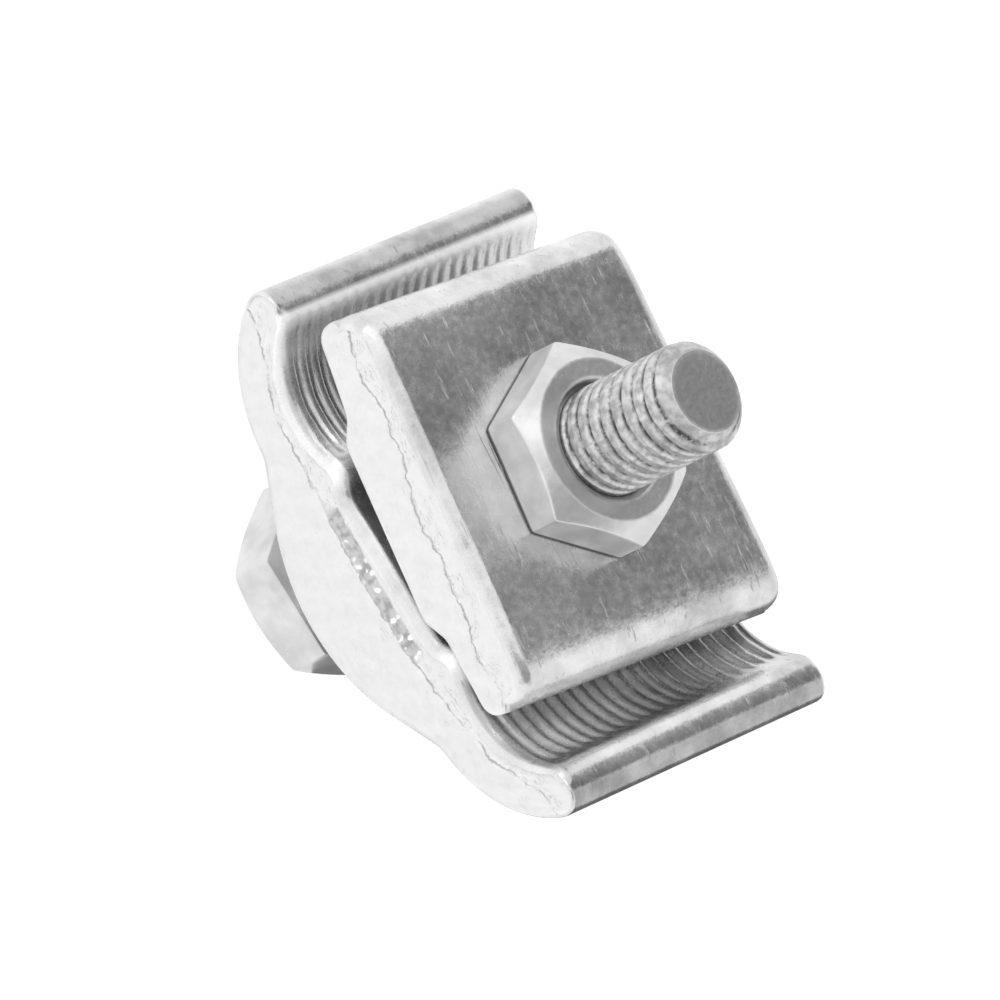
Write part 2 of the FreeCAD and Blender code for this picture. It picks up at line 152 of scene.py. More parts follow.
class ClampKeeperSizes(bpy.types.PropertyGroup):
    """Sizes of the keeper plate, in its own frame: Z up from the boss underside."""
    length: mm("Length", 32.5, "Along the conductors")
    half_width: mm("Half width", 18.3, "Across the jaws")
    thickness: mm("Thickness", 8.5, "At the boss")
    root_rise: mm("Root rise", 1.6, "Boss underside to the wing's root")
    tip_rise: mm("Tip rise", 2.3, "Boss underside to the wing's tip")
    boss_half: mm("Boss half width", 8.3, "Underside of the boss")
    step_half: mm("Step half width", 10.4, "Boss where it meets the wing")
    top_round: mm("Top round", 2.9, "Long top edges")
    crown_width: mm("Crown width", 2.6, "Gentle fall of the top beside each long edge")
    crown_slope: turn("Crown slope", 7.5, "Slope of the top where the round starts")
    tip_round: mm("Tip round", 1.8, "Long bottom edges")
    hole_radius: mm("Hole radius", 5.475, "Bolt hole")
    near_skew: turn("Near skew", 1.1, "Near end out of square")
    far_skew: turn("Far skew", 3.2, "Far end out of square")
    turn: turn("Turn", -2.1, "Turn of the plate about the bolt")
    roll_depth: mm("Edge roll depth", 0.8, "Near end, pulled down by the shear")
    roll_length: mm("Edge roll length", 1.5, "Near end, pulled down by the shear")


class ClampBoltSizes(bpy.types.PropertyGroup):
    """Sizes of the bolt and nut."""
    diameter: mm("Diameter", 9.95, "Over the thread")
    pitch: mm("Pitch", 1.5, "Of the thread")
    thread_depth: mm("Thread depth", 0.36, "With the zinc in it")
    thread_length: mm("Thread length", 32.0, "From the bolt's end")
    end_bevel: mm("End bevel", 1.3, "At the bolt's end")
    head_flats: mm("Head flats", 16.7, "Across flats of the head")
    nut_flats: mm("Nut flats", 16.7, "Across flats of the nut")
    nut_face_share: FloatProperty(name="Nut face share", default=0.89, min=0.5, max=1,
                                  description="Round face over across flats")
    head_face_share: FloatProperty(name="Head face share", default=0.96, min=0.5, max=1,
                                   description="Round face over across flats")
    bevel: turn("Bevel", 30.0, "Bevel of the hexagon corners")
    head_turn: turn("Head turn", 9.65, "Turn of the head about the bolt")
    nut_turn: turn("Nut turn", -1.6, "Turn of the nut about the bolt")
    nut_mouth: mm("Nut mouth", 10.9, "Countersink diameter")
    angles: IntProperty(name="Steps round", default=180, min=48, max=360,
                        description="Points round the bolt and nut")


class ClampLook(bpy.types.PropertyGroup):
    """Colours of the zinc and strength of the lights."""
    zinc_dark: tint("Zinc, dark", (0.50, 0.50, 0.503), "Weathered patches of the jaws")
    zinc_light: tint("Zinc, light", (0.84, 0.84, 0.84), "Bright patches of the jaws")
    sheared: tint("Sheared face", (0.74, 0.74, 0.74), "Zinc over the sheared ends")
    bolt_zinc: tint("Bolt zinc", (0.82, 0.82, 0.82), "Bolt and nut")
    dark_lines: tint("Dark lines", (0.10, 0.10, 0.10), "Thread roots and cracks")
    key: FloatProperty(name="Key light", default=17.5, min=0, unit="POWER",
                       description="Soft box at the near side")
    fill: FloatProperty(name="Fill light", default=7.0, min=0, unit="POWER",
                        description="Soft box at the far side")
    sky: FloatProperty(name="Sky", default=0.55, min=0, description="World light")


def in_mm(group):
    """A group's values by name, its lengths in millimetres."""
    values = {}
    for key in group.__annotations__:
        value = getattr(group, key)
        is_length = group.bl_rna.properties[key].unit == "LENGTH"
        values[key] = value / MM if is_length else value
    return SimpleNamespace(**values)


# Outlines

def arc(centre, radius, start, end, step=0.05):
    """Points on an arc; angles in degrees, step in millimetres."""
    count = max(3, int(abs(math.radians(end - start)) * radius / step))
    angles = np.radians(np.linspace(start, end, count))
    return [(centre[0] + radius * math.cos(a), centre[1] + radius * math.sin(a))
            for a in angles]


def arc_between(first, last, radius):
    """Arc from first to last, bulging to the right of the way of travel."""
    first, last = np.array(first), np.array(last)
    chord = last - first
    half = np.linalg.norm(chord) / 2
    left = np.array([-chord[1], chord[0]]) / (2 * half)
    centre = (first + last) / 2 + left * math.sqrt(radius ** 2 - half ** 2)
    start = math.degrees(math.atan2(*(first - centre)[::-1]))
    end = math.degrees(math.atan2(*(last - centre)[::-1]))
    if end < start:
        end += 360
    return arc(centre, radius, start, end)


def resample(points, count):
    """Even points along a path."""
    points = np.array(points, float)
    steps = np.r_[0, np.cumsum(np.linalg.norm(np.diff(points, axis=0), axis=1))]
    at = np.linspace(0, steps[-1], count)
    return np.stack([np.interp(at, steps, points[:, i]) for i in range(2)], 1)


def soften(points, width, count):
    """Round a path's corners: a running mean about width wide, ends held."""
    dense = resample(points, DENSE_POINTS)
    total = np.linalg.norm(np.diff(dense, axis=0), axis=1).sum()
    spread = width / (total / DENSE_POINTS)
    reach = int(3 * spread)
    kernel = np.exp(-0.5 * (np.arange(-reach, reach + 1) / spread) ** 2)
    kernel /= kernel.sum()
    front = 2 * dense[0] - dense[reach:0:-1]
    back = 2 * dense[-1] - dense[-2:-reach - 2:-1]
    padded = np.vstack([front, dense, back])
    smooth = np.stack([np.convolve(padded[:, i], kernel, "valid") for i in range(2)], 1)
    return resample(smooth, count)


def whole(half_path):
    """A right half path, from the middle outwards, with its mirror image before it."""
    half_path = np.array(half_path)
    left = half_path[::-1] * [-1, 1]
    return np.vstack([left[:-1], half_path])


def base_upper(size, side):
    """Right half of the base jaw's upper outline: floor, ridge, groove and lip."""
    drop = size.groove_axis - size.lip_height
    inner = size.lip_inner_round
    reach = size.groove_radius + inner
    inner_centre = (size.groove_offset + math.sqrt(reach ** 2 - (drop + inner) ** 2),
                    size.lip_height - inner)
    ridge_drop = size.groove_axis - size.ridge_height
    ridge_out = -math.sqrt(size.groove_radius ** 2 - ridge_drop ** 2)
    start = math.degrees(math.atan2(-ridge_drop, ridge_out)) % 360
    end = math.degrees(math.atan2(-drop - inner, inner_centre[0] - size.groove_offset)) % 360
    path = [(0, size.floor_height), (size.floor_half, size.floor_height),
            (size.ridge_half, size.ridge_height)]
    path += arc((size.groove_offset, size.groove_axis), size.groove_radius, start, end)
    path += arc(inner_centre, inner, end - 180, 90)
    tip_y = (inner_centre[0] + side - size.lip_round) / 2
    return path + [(tip_y, size.lip_height)]


def base_lower(size, side, tip_y):
    """Right half of the base jaw's lower outline: belly, flank, wing and lip."""
    rise = size.belly_radius - math.sqrt(size.belly_radius ** 2 - size.belly_half ** 2)
    path = arc_between((0, 0), (size.belly_half, rise), size.belly_radius)
    path += arc_between((size.knee_half, size.knee_height), (side, size.lip_side),
                        size.wing_radius)
    corner = (side - size.lip_round, size.lip_height - size.lip_round)
    return path + arc(corner, size.lip_round, 0, 90) + [(tip_y, size.lip_height)]


def base_chains(size):
    """Upper and lower outlines of the base jaw, both from the -Y lip to the +Y lip."""
    drop = size.groove_axis - size.lip_height
    groove_edge = size.groove_offset + math.sqrt(size.groove_radius ** 2 - drop ** 2)
    side = groove_edge + size.lip_thickness
    upper = base_upper(size, side)
    lower = base_lower(size, side, upper[-1][0])
    count = 2 * BASE_HALF_POINTS + 1
    return (soften(whole(upper), BASE_TOP_SOFT_MM, count),
            soften(whole(lower), BASE_BELLY_SOFT_MM, count))


def keeper_chains(size):
    """Upper and lower outlines of the keeper plate, from its -Y side to its +Y side."""
    half, top, slope = size.half_width, size.thickness, size.crown_slope
    waist = size.tip_rise + size.tip_round + KEEPER_SIDE_FLAT_MM
    drop = size.crown_width * math.tan(slope) / 2
    edge = half - size.top_round * (1 - math.sin(slope))
    upper = [(0, top)]
    for share in np.linspace(0, 1, 12):
        upper.append((edge - size.crown_width * (1 - share), top - drop * share ** 2))
    round_z = top - drop - size.top_round * math.cos(slope)
    upper += arc((half - size.top_round, round_z), size.top_round, 90 - math.degrees(slope), 0)
    upper.append((half, waist))
    lower = [(0, 0), (size.boss_half, 0), (size.step_half, size.root_rise)]
    # The tip's round starts just before its lowest point, where the underside meets it
    tip = (half - size.tip_round, size.tip_rise + size.tip_round)
    lower += arc(tip, size.tip_round, -95, 0) + [(half, waist)]
    count = 2 * KEEPER_HALF_POINTS + 1
    return (soften(whole(upper), KEEPER_SOFT_MM, count),
            soften(whole(lower), KEEPER_SOFT_MM, count))


def wave(values, seed, *periods):
    """A smooth wandering line through the values, between about -1 and 1.

    Each period brings one sine and a weaker, shorter one; later periods count for less.
    """
    values = np.asarray(values, float)
    rng = np.random.default_rng(seed)
    weaker, shorter = 0.6, 0.61
    total = np.zeros_like(values)
    for rank, period in enumerate(periods):
        phase = rng.uniform(0, 2 * math.pi, 2)
        long_sine = np.sin(2 * math.pi * values / period + phase[0])
        short_sine = np.sin(2 * math.pi * values / (period * shorter) + phase[1])
        total += (long_sine + weaker * short_sine) / (1 + rank)
    return total / ((1 + weaker) * sum(1 / (1 + rank) for rank in range(len(periods))))


def ramp(value, start, width):
    """0 up to the start, then rising to 1 over the width."""
    return np.clip((value - start) / width, 0, 1)


# Meshes

def add_object(name, data):
    """A new object in the scene."""
    piece = bpy.data.objects.new(name, data)
    bpy.context.scene.collection.objects.link(piece)
    return piece


def closed_piece(name, verts, faces, marks, place):
    """A closed mesh from points in millimetres, with its marks as point attributes."""
    mesh = bpy.data.meshes.new(name)
    mesh.from_pydata([Vector(v) * MM for v in verts], [], faces)
    for mark, values in marks.items():
        mesh.attributes.new(mark, "FLOAT", "POINT").data.foreach_set("value", values)
    mesh.transform(place)
    outwards = bmesh.new()
    outwards.from_mesh(mesh)
    bmesh.ops.recalc_face_normals(outwards, faces=outwards.faces)
    outwards.to_mesh(mesh)
    outwards.free()
    return add_object(name, mesh)


class ShearedBar:
    """A rolled section sheared to length, as a closed mesh with its end marks.

    The section is an upper and a lower chain of points with shared ends. Each end has
    its own plane, its upper edge rolled down, and a shear line between the smooth band
    under that edge and the torn face below it.
    """

    def __init__(self, upper, lower):
        self.last = len(upper) - 1
        self.loop = np.vstack([upper, lower[-2:0:-1]])
        along = np.roll(self.loop, -1, 0) - np.roll(self.loop, 1, 0)
        normal = np.stack([-along[:, 1], along[:, 0]], 1)
        self.normal = normal / np.linalg.norm(normal, axis=1)[:, None]
        self.is_upper = np.zeros(len(self.loop))
        self.is_upper[1:self.last] = 1
        self.verts, self.faces = [], []
        # The pale mark carries painted highlight; the dull mark carries painted shade as well as dull
        # zinc in filled serrations
        names = ("sheared", "shear_line", "serrated", "worn", "torn", "pale", "dull")
        self.marks = {name: [] for name in names}

    def add_points(self, x, yz, **marks):
        """Add points with their marks, and give back their numbers."""
        first = len(self.verts)
        self.verts += [(along, across, up) for along, (across, up) in zip(x, yz)]
        for name, values in self.marks.items():
            values.extend(np.broadcast_to(marks.get(name, 0.0), len(yz)).tolist())
        return np.arange(first, first + len(yz))

    def join_rings(self, first, second):
        for a in range(len(first)):
            b = (a + 1) % len(first)
            self.faces.append((first[a], first[b], second[b], second[a]))

    def close_end(self, ring, side, end_x, relief, line, torn):
        """Close an end with a grid between its upper and lower chains."""
        verts = np.array(self.verts)
        top = ring[:self.last + 1]
        bottom = np.r_[ring[0], ring[:self.last:-1], ring[self.last]]
        grid = [list(top)]
        for row in range(1, END_ROWS):
            # Rows lie closer together near the upper edge
            share = (row / END_ROWS) ** 1.5
            inner = (verts[top, 1:] * (1 - share) + verts[bottom, 1:] * share)[1:-1]
            across, up = inner[:, 0], inner[:, 1]
            under = line(across) - up
            x = end_x(across) - side * relief(across, up, under)
            ids = self.add_points(x, inner, sheared=1.0, shear_line=under, worn=0.3,
                                  torn=torn(across, under))
            grid.append([top[0], *ids, top[-1]])
        grid.append(list(bottom))
        for near, far in zip(grid, grid[1:]):
            for col in range(self.last):
                # The chains share their end points, so the outermost faces are triangles
                corners = list(dict.fromkeys([near[col], near[col + 1], far[col + 1], far[col]]))
                if len(corners) > 2:
                    self.faces.append(tuple(corners if side > 0 else corners[::-1]))

    def build(self, name, place):
        return closed_piece(name, self.verts, self.faces, self.marks, place)


def end_plane(distance, slope=0.0):
    """The X of an end for a list of Y, out of square by the slope."""
    return lambda across: distance - slope * np.asarray(across)


def shear_bar(bar, columns, near_x, far_x, edge_round, roll, relief, line,
              torn=lambda across, under: 0.0, surface=lambda from_near, from_far, fall: {}):
    """Fill a ShearedBar: rings along X, a rounded edge and a face at each end.

    near_x and far_x give each end's plane, roll the fall of the upper side at a distance
    from each end, relief the depth of an end face, line the height of its shear line,
    torn its torn strip, and surface the marks of the long sides.
    """
    y = bar.loop[:, 0]
    start, stop = near_x(y), far_x(y)

    def section(share):
        x = start + (stop - start) * share
        fall = roll(x - start, stop - x, y) * bar.is_upper
        return x, bar.loop - bar.normal * fall[:, None], fall

    def edge_ring(step, far, pale):
        quarter = step * math.pi / 2
        inset = edge_round * (1 - math.sin(quarter)) / (stop - start)
        x, yz, _ = section(1 - inset if far else inset)
        yz = yz - bar.normal * edge_round * (1 - math.cos(quarter))
        return bar.add_points(x, yz, sheared=0.6 * step, worn=1.0, pale=pale,
                              shear_line=line(yz[:, 0]) - yz[:, 1])

    # The near edge takes the painted highlight of the side next to it
    near_edge_painted_light = surface(0.0, stop - start, 0.0).get("pale", 0.0)
    rings = [edge_ring(step, False, near_edge_painted_light) for step in EDGE_STEPS[::-1]]
    for share in columns:
        x, yz, fall = section(share)
        from_near, from_far = x - start, stop - x
        worn = np.exp(-np.minimum(from_near, from_far) / WORN_REACH_MM)
        rings.append(bar.add_points(x, yz, shear_line=FAR_FROM_LINE, worn=worn,
                                    **surface(from_near, from_far, fall)))
    rings += [edge_ring(step, True, 0.0) for step in EDGE_STEPS]
    for first, second in zip(rings, rings[1:]):
        bar.join_rings(first, second)
    bar.close_end(rings[0], -1, near_x, relief, line, torn)
    bar.close_end(rings[-1], 1, far_x, relief, line, torn)


# Finishing and cutting

def finished_mesh(piece, name, tool=None):
    """The piece with its modifiers applied, as one plain object; its cutting tool goes."""
    graph = bpy.context.evaluated_depsgraph_get()
    mesh = bpy.data.meshes.new_from_object(piece.evaluated_get(graph))
    mesh.name = name
    bpy.data.objects.remove(piece)
    if tool:
        bpy.data.objects.remove(tool)
    mesh.set_sharp_from_angle(angle=SHARP_ANGLE)
    for polygon in mesh.polygons:
        polygon.use_smooth = True
    return add_object(name, mesh)


def settle(piece, body, node, material):
    """Give a finished piece its material and body, and hide its CAD node."""
    piece.data.materials.clear()
    piece.data.materials.append(material)
    for polygon in piece.data.polygons:
        polygon.material_index = 0
    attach(piece, body)
    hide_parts(node)


def punch(piece, name, outline, low, high, place):
    """Cut a straight hole through the outline with a Boolean, and give back its tool."""
    count = len(outline)
    verts = [(a * MM, b * MM, height * MM) for height in (low, high) for a, b in outline]
    faces = [tuple(range(count))[::-1], tuple(range(count, 2 * count))]
    faces += [(i, (i + 1) % count, (i + 1) % count + count, i + count) for i in range(count)]
    mesh = bpy.data.meshes.new(name)
    mesh.from_pydata(verts, [], faces)
    mesh.transform(place)
    tool = add_object(name, mesh)
    modifier = piece.modifiers.new("punched hole", "BOOLEAN")
    modifier.operation = "DIFFERENCE"
    modifier.solver = "EXACT"
    modifier.object = tool
    return tool


# Geometry Nodes

class NodeTree:
    """A short way to add and link nodes."""

    def __init__(self, tree):
        self.tree = tree

    def add(self, kind, inputs=(), **settings):
        """A new node; inputs go by their order in a list or by name in a dict."""
        node = self.tree.nodes.new(kind)
        for key, value in settings.items():
            setattr(node, key, value)
        pairs = inputs.items() if isinstance(inputs, dict) else enumerate(inputs)
        for key, value in pairs:
            self.put(node.inputs[key], value)
        return node

    def put(self, socket, value):
        """Link the value where it is a socket, or else set it."""
        if isinstance(value, bpy.types.NodeSocket):
            self.tree.links.new(value, socket)
        else:
            socket.default_value = value

    def math(self, operation, *inputs):
        return self.add("ShaderNodeMath", inputs, operation=operation).outputs[0]

    def times(self, first, *others):
        for value in others:
            first = self.math("MULTIPLY", first, value)
        return first

    def plus(self, first, second):
        return self.math("ADD", first, second)

    def minus(self, first, second):
        return self.math("SUBTRACT", first, second)

    def noise_at(self, place, scale, detail, rough=0.5):
        return self.add("ShaderNodeTexNoise", {"Vector": place, "Scale": scale, "Detail": detail,
                                               "Roughness": rough}).outputs[0]


class GeometryTree(NodeTree):
    """A Geometry Nodes tree with one geometry in and out and named sizes."""

    def __init__(self, name, sizes):
        super().__init__(bpy.data.node_groups.new(name, "GeometryNodeTree"))
        self.socket("Geometry", "INPUT", "NodeSocketGeometry")
        for label in sizes:
            self.socket(label, "INPUT", "NodeSocketFloat")
        self.socket("Geometry", "OUTPUT", "NodeSocketGeometry")
        self.sockets = self.add("NodeGroupInput").outputs
        self.place = self.add("GeometryNodeInputPosition").outputs[0]

    def socket(self, label, way, kind):
        self.tree.interface.new_socket(label, in_out=way, socket_type=kind)

    def mark(self, name):
        return self.add("GeometryNodeInputNamedAttribute", {"Name": name},
                        data_type="FLOAT").outputs[0]

    def close(self, moved, name, value, material):
        """Store a mark, then Realize Instances, Set Material and the output."""
        stored = self.add("GeometryNodeStoreNamedAttribute",
                          {"Geometry": moved, "Name": name, "Value": value},
                          data_type="FLOAT", domain="POINT").outputs[0]
        real = self.add("GeometryNodeRealizeInstances", [stored]).outputs[0]
        done = self.add("GeometryNodeSetMaterial", {"Geometry": real, "Material": material})
        self.add("NodeGroupOutput", [done.outputs[0]])
        return self.tree


def use_tree(piece, tree, sizes):
    """Put the tree on the piece; its sizes are given in millimetres."""
    modifier = piece.modifiers.new(tree.name, "NODES")
    modifier.node_group = tree
    for item in tree.interface.items_tree:
        if item.in_out == "INPUT" and item.name in sizes:
            modifier[item.identifier] = float(sizes[item.name] * MM)


def serration_tree(material):
    """Wavy V cuts across the grooves, where the mesh is marked serrated."""
    nodes = GeometryTree("serrations", ["Pitch", "Depth", "Start", "Wander"])
    sockets, place = nodes.sockets, nodes.place
    wander = nodes.minus(nodes.noise_at(place, 260.0, 2.0), 0.5)
    x = nodes.add("ShaderNodeSeparateXYZ", [place]).outputs[0]
    along = nodes.plus(nodes.minus(x, sockets["Start"]), nodes.times(wander, sockets["Wander"]))
    phase = nodes.times(nodes.math("DIVIDE", along, sockets["Pitch"]), 2 * math.pi)
    # A raised cosine to the power 1.7: narrow valleys between wider crests
    valley = nodes.math("MULTIPLY_ADD", nodes.math("COSINE", phase), 0.5, 0.5)
    valley = nodes.times(nodes.math("POWER", valley, 1.7), nodes.mark("serrated"))
    started = nodes.math("GREATER_THAN", along, nodes.times(sockets["Pitch"], -0.5))
    # The depth varies in patches, because the zinc fills the cuts unevenly
    patch = nodes.math("MULTIPLY_ADD", nodes.noise_at(place, 420.0, 3.0), 0.9, 0.55)
    cut = nodes.times(valley, nodes.times(sockets["Depth"], started), patch)
    normal = nodes.add("GeometryNodeInputNormal").outputs[0]
    shift = nodes.add("ShaderNodeVectorMath", {"Vector": normal, "Scale": nodes.times(cut, -1.0)},
                      operation="SCALE").outputs[0]
    moved = nodes.add("GeometryNodeSetPosition",
                      {"Geometry": sockets["Geometry"], "Offset": shift}).outputs[0]
    return nodes.close(moved, "valley", valley, material)


def thread_tree(material):
    """Turns a smooth rod into a zinc-coated thread: ridges wound at one pitch."""
    nodes = GeometryTree("thread", ["Pitch", "Depth", "Low", "High"])
    sockets, place = nodes.sockets, nodes.place
    x, y, z = nodes.add("ShaderNodeSeparateXYZ", [place]).outputs
    turns = nodes.math("DIVIDE", nodes.math("ARCTAN2", y, x), 2 * math.pi)
    wind = nodes.minus(nodes.math("DIVIDE", z, sockets["Pitch"]), turns)
    rough = nodes.minus(nodes.noise_at(place, 500.0, 3.0), 0.5)
    wind = nodes.plus(wind, nodes.times(rough, 0.16))
    # From 1 in the root to 0 on the flattened crest
    share = nodes.math("ABSOLUTE", nodes.minus(nodes.math("FRACT", wind), 0.5))
    root = nodes.minus(1.0, nodes.math("SMOOTH_MIN", nodes.times(share, 3.9), 1.0, 0.35))
    started = nodes.add("ShaderNodeMapRange", {
        "Value": z, "From Min": sockets["Low"],
        "From Max": nodes.plus(sockets["Low"], THREAD_RUN_IN)}).outputs[0]
    mark = nodes.mark("threaded")
    root = nodes.times(root, started, mark)
    radius = nodes.math("SQRT", nodes.plus(nodes.math("POWER", x, 2.0), nodes.math("POWER", y, 2.0)))
    crest = nodes.minus(sockets["High"], nodes.times(root, sockets["Depth"]))
    factor = nodes.math("MINIMUM", nodes.math("DIVIDE", crest, radius), 1.0)
    keep = nodes.math("MULTIPLY_ADD", nodes.minus(factor, 1.0), mark, 1.0)
    shrunk = nodes.add("ShaderNodeCombineXYZ", [nodes.times(x, keep), nodes.times(y, keep), z])
    moved = nodes.add("GeometryNodeSetPosition", {"Geometry": sockets["Geometry"],
                                                  "Position": shrunk.outputs[0]}).outputs[0]
    return nodes.close(moved, "root", root, material)


# Materials

def grey(level):
    """An even grey, without a tint."""
    return (level, level, level)


def darker(colour, share):
    return tuple(share * c for c in colour)


class Finish(NodeTree):
    """A metal's node tree: patterns on Object coordinates, in millimetres."""

    def __init__(self, name):
        self.material = bpy.data.materials.new(name)
        self.material.use_nodes = True
        super().__init__(self.material.node_tree)
        self.shader = self.tree.nodes["Principled BSDF"]
        coords = self.add("ShaderNodeTexCoord").outputs["Object"]
        self.place = self.stretched(coords, (1 / MM, 1 / MM, 1 / MM))

    def stretched(self, place, factors):
        return self.add("ShaderNodeVectorMath", [place, factors], operation="MULTIPLY").outputs[0]

    def noise(self, scale, detail=3.0, stretch=None, rough=0.5):
        place = self.stretched(self.place, stretch) if stretch else self.place
        return self.noise_at(place, scale, detail, rough)

    def cells(self, scale, stretch=None):
        """Distance to the nearest of many scattered points."""
        place = self.stretched(self.place, stretch) if stretch else self.place
        return self.add("ShaderNodeTexVoronoi", {"Vector": place, "Scale": scale}).outputs[0]

    def between(self, value, low, high, to_low=0.0, to_high=1.0):
        return self.add("ShaderNodeMapRange", [value, low, high, to_low, to_high]).outputs[0]

    def mark(self, name):
        return self.add("ShaderNodeAttribute", attribute_name=name).outputs["Fac"]

    def mix(self, share, first, second):
        """A colour from first to second by the share."""
        node = self.add("ShaderNodeMix", data_type="RGBA")
        self.put(node.inputs["Factor"], share)
        for label, value in (("A", first), ("B", second)):
            is_socket = isinstance(value, bpy.types.NodeSocket)
            self.put(node.inputs[label], value if is_socket else (*value, 1.0))
        return node.outputs["Result"]

    def mix_value(self, share, first, second):
        return self.plus(self.times(share, second), self.times(self.minus(1.0, share), first))

    def finish(self, colour, roughness, bump, metallic):
        lift = self.add("ShaderNodeBump", {"Strength": 1.0, "Distance": BUMP_DEPTH, "Height": bump})
        for label, value in (("Base Color", colour), ("Roughness", roughness),
                             ("Metallic", metallic), ("Normal", lift.outputs[0])):
            self.put(self.shader.inputs[label], value)
        return self.material


def mottled_colour(zinc, look, patches, grain, streaks, dark):
    """Weathered and bright patches, streaks, dents and flecks of the rolled sides."""
    tone = zinc.plus(zinc.times(patches, 0.8), zinc.times(grain, 0.2))
    colour = zinc.mix(zinc.between(tone, 0.38, 0.64), look.zinc_dark, look.zinc_light)
    bright = zinc.times(zinc.between(streaks, 0.62, 0.70), zinc.between(grain, 0.42, 0.6))
    colour = zinc.mix(zinc.times(bright, 0.3), colour, grey(0.9))
    colour = zinc.mix(zinc.times(dark, 0.5), colour, grey(0.16))
    flecks = zinc.between(zinc.cells(1.15), 0.16, 0.07)
    flecks = zinc.times(flecks, zinc.between(patches, 0.54, 0.64))
    colour = zinc.mix(zinc.times(flecks, 0.25), colour, grey(0.95))
    broad = zinc.between(zinc.noise(0.055, 1.0), 0.42, 0.60)
    return zinc.mix(zinc.times(broad, 0.4), colour, grey(0.95))


def marked_colour(zinc, colour, patches, painted_highlight):
    """Worn edges, painted shade on the lips, painted highlight on the +Y groove's wall and ridges, and
    painted shade in the serrations' valleys.
    """
    worn = zinc.between(zinc.mark("worn"), 0.25, 1.0)
    colour = zinc.mix(zinc.times(worn, 0.4), colour, grey(0.88))
    # Painted shade on the lips where the dull mark lies, and dull zinc in the -Y groove's filled
    # serrations
    dull = zinc.times(zinc.mark("dull"), zinc.between(patches, 0.3, 0.6, 0.85, 0.55))
    colour = zinc.mix(dull, colour, grey(0.23))
    # Painted highlight: where the pale mark lies, the groove wall and ridges are lighter
    colour = zinc.mix(zinc.times(painted_highlight, 0.85), colour, grey(0.94))
    # Painted shade: the serrations' valleys are painted darker
    valley = zinc.between(zinc.mark("valley"), 0.25, 1.0)
    return zinc.mix(zinc.times(valley, 0.55), colour, grey(0.24))


def sheared_colour(zinc, look, tear):
    """Pale end face with the shear crack, fine layers above it, hairs and a torn strip."""
    face = zinc.mix(zinc.between(tear, 0.35, 0.7), look.sheared, darker(look.sheared, 0.93))
    line = zinc.mark("shear_line")
    wobble = zinc.times(zinc.minus(zinc.noise(0.8, 5.0, rough=0.7), 0.5), 1.3)
    width = zinc.between(zinc.noise(0.5, 2.0), 0.35, 0.65, 0.03, 0.11)
    off = zinc.math("ABSOLUTE", zinc.plus(line, wobble))
    crack = zinc.times(zinc.between(zinc.minus(width, off), -0.05, 0.03),
                       zinc.between(zinc.noise(0.31, 2.0), 0.38, 0.48))
    face = zinc.mix(zinc.times(crack, 0.55), face, look.dark_lines)

    depth = zinc.plus(line, zinc.times(wobble, 1.5))
    layer = zinc.minus(zinc.math("FRACT", zinc.times(depth, 2.3)), 0.5)
    layer = zinc.times(zinc.between(zinc.math("ABSOLUTE", layer), 0.12, 0.04),
                       zinc.between(zinc.noise(0.9, 3.0), 0.50, 0.58))
    zone = zinc.times(zinc.between(line, -1.9, -1.6), zinc.between(line, 0.3, 0.1))
    face = zinc.mix(zinc.times(layer, zone, 0.38), face, look.dark_lines)

    hair = zinc.minus(zinc.noise(1.0, 2.0, stretch=(1.4, 0.22, 1.4), rough=0.6), 0.5)
    hair = zinc.times(zinc.between(zinc.math("ABSOLUTE", hair), 0.012, 0.004),
                      zinc.between(zinc.noise(0.45, 2.0), 0.56, 0.62))
    face = zinc.mix(zinc.times(hair, 0.16), face, look.dark_lines)
    return zinc.mix(zinc.mark("torn"), face, torn_colour(zinc))


def torn_colour(zinc):
    """The torn strip over the crack: grey, with pale beads of zinc."""
    strip = zinc.mix(zinc.between(zinc.noise(1.1, 3.0), 0.44, 0.60), grey(0.52), grey(0.33))
    rough = zinc.times(zinc.minus(zinc.noise(2.6, 2.0), 0.5), 0.5)
    beads = zinc.plus(zinc.cells(1.0, stretch=(1.0, 1.2, 0.7)), rough)
    beads = zinc.times(zinc.between(beads, 0.38, 0.22), zinc.between(zinc.noise(0.6, 1.0), 0.36, 0.44))
    return zinc.mix(beads, strip, grey(0.95))


def jaw_finish(name, look):
    """Hot-dip galvanised jaw: mottled zinc, scratches across, pale sheared ends."""
    zinc = Finish(name)
    patches = zinc.noise(0.22, 5.0, rough=0.62)
    grain = zinc.noise(1.3, 2.0, rough=0.6)
    streaks = zinc.noise(1.0, 3.0, stretch=(2.6, 0.22, 2.6), rough=0.7)
    dents = zinc.noise(1.0, 2.0, stretch=(1.9, 0.16, 1.9), rough=0.6)
    dark = zinc.between(dents, 0.34, 0.27)
    tear = zinc.noise(0.9, 4.0, rough=0.65)
    sheared, painted_highlight = zinc.mark("sheared"), zinc.mark("pale")
    colour = mottled_colour(zinc, look, patches, grain, streaks, dark)
    colour = marked_colour(zinc, colour, patches, painted_highlight)
    face = sheared_colour(zinc, look, tear)
    colour = zinc.mix(zinc.between(sheared, 0.55, 0.9), colour, face)

    on_face = zinc.between(sheared, 0.5, 0.9)
    roughness = zinc.mix_value(on_face, zinc.between(grain, 0.3, 0.7, 0.18, 0.30), 0.55)
    bump = zinc.plus(zinc.times(grain, 0.5), zinc.times(streaks, 0.5))
    bump = zinc.minus(bump, zinc.times(dark, 0.4))
    bump = zinc.plus(bump, zinc.times(tear, sheared, 0.9))
    # Where the pale mark lies the painted highlight is also less metallic
    metallic = zinc.mix_value(on_face, zinc.mix_value(painted_highlight, 0.93, 0.15), 0.2)
    return zinc.finish(colour, roughness, bump, metallic)


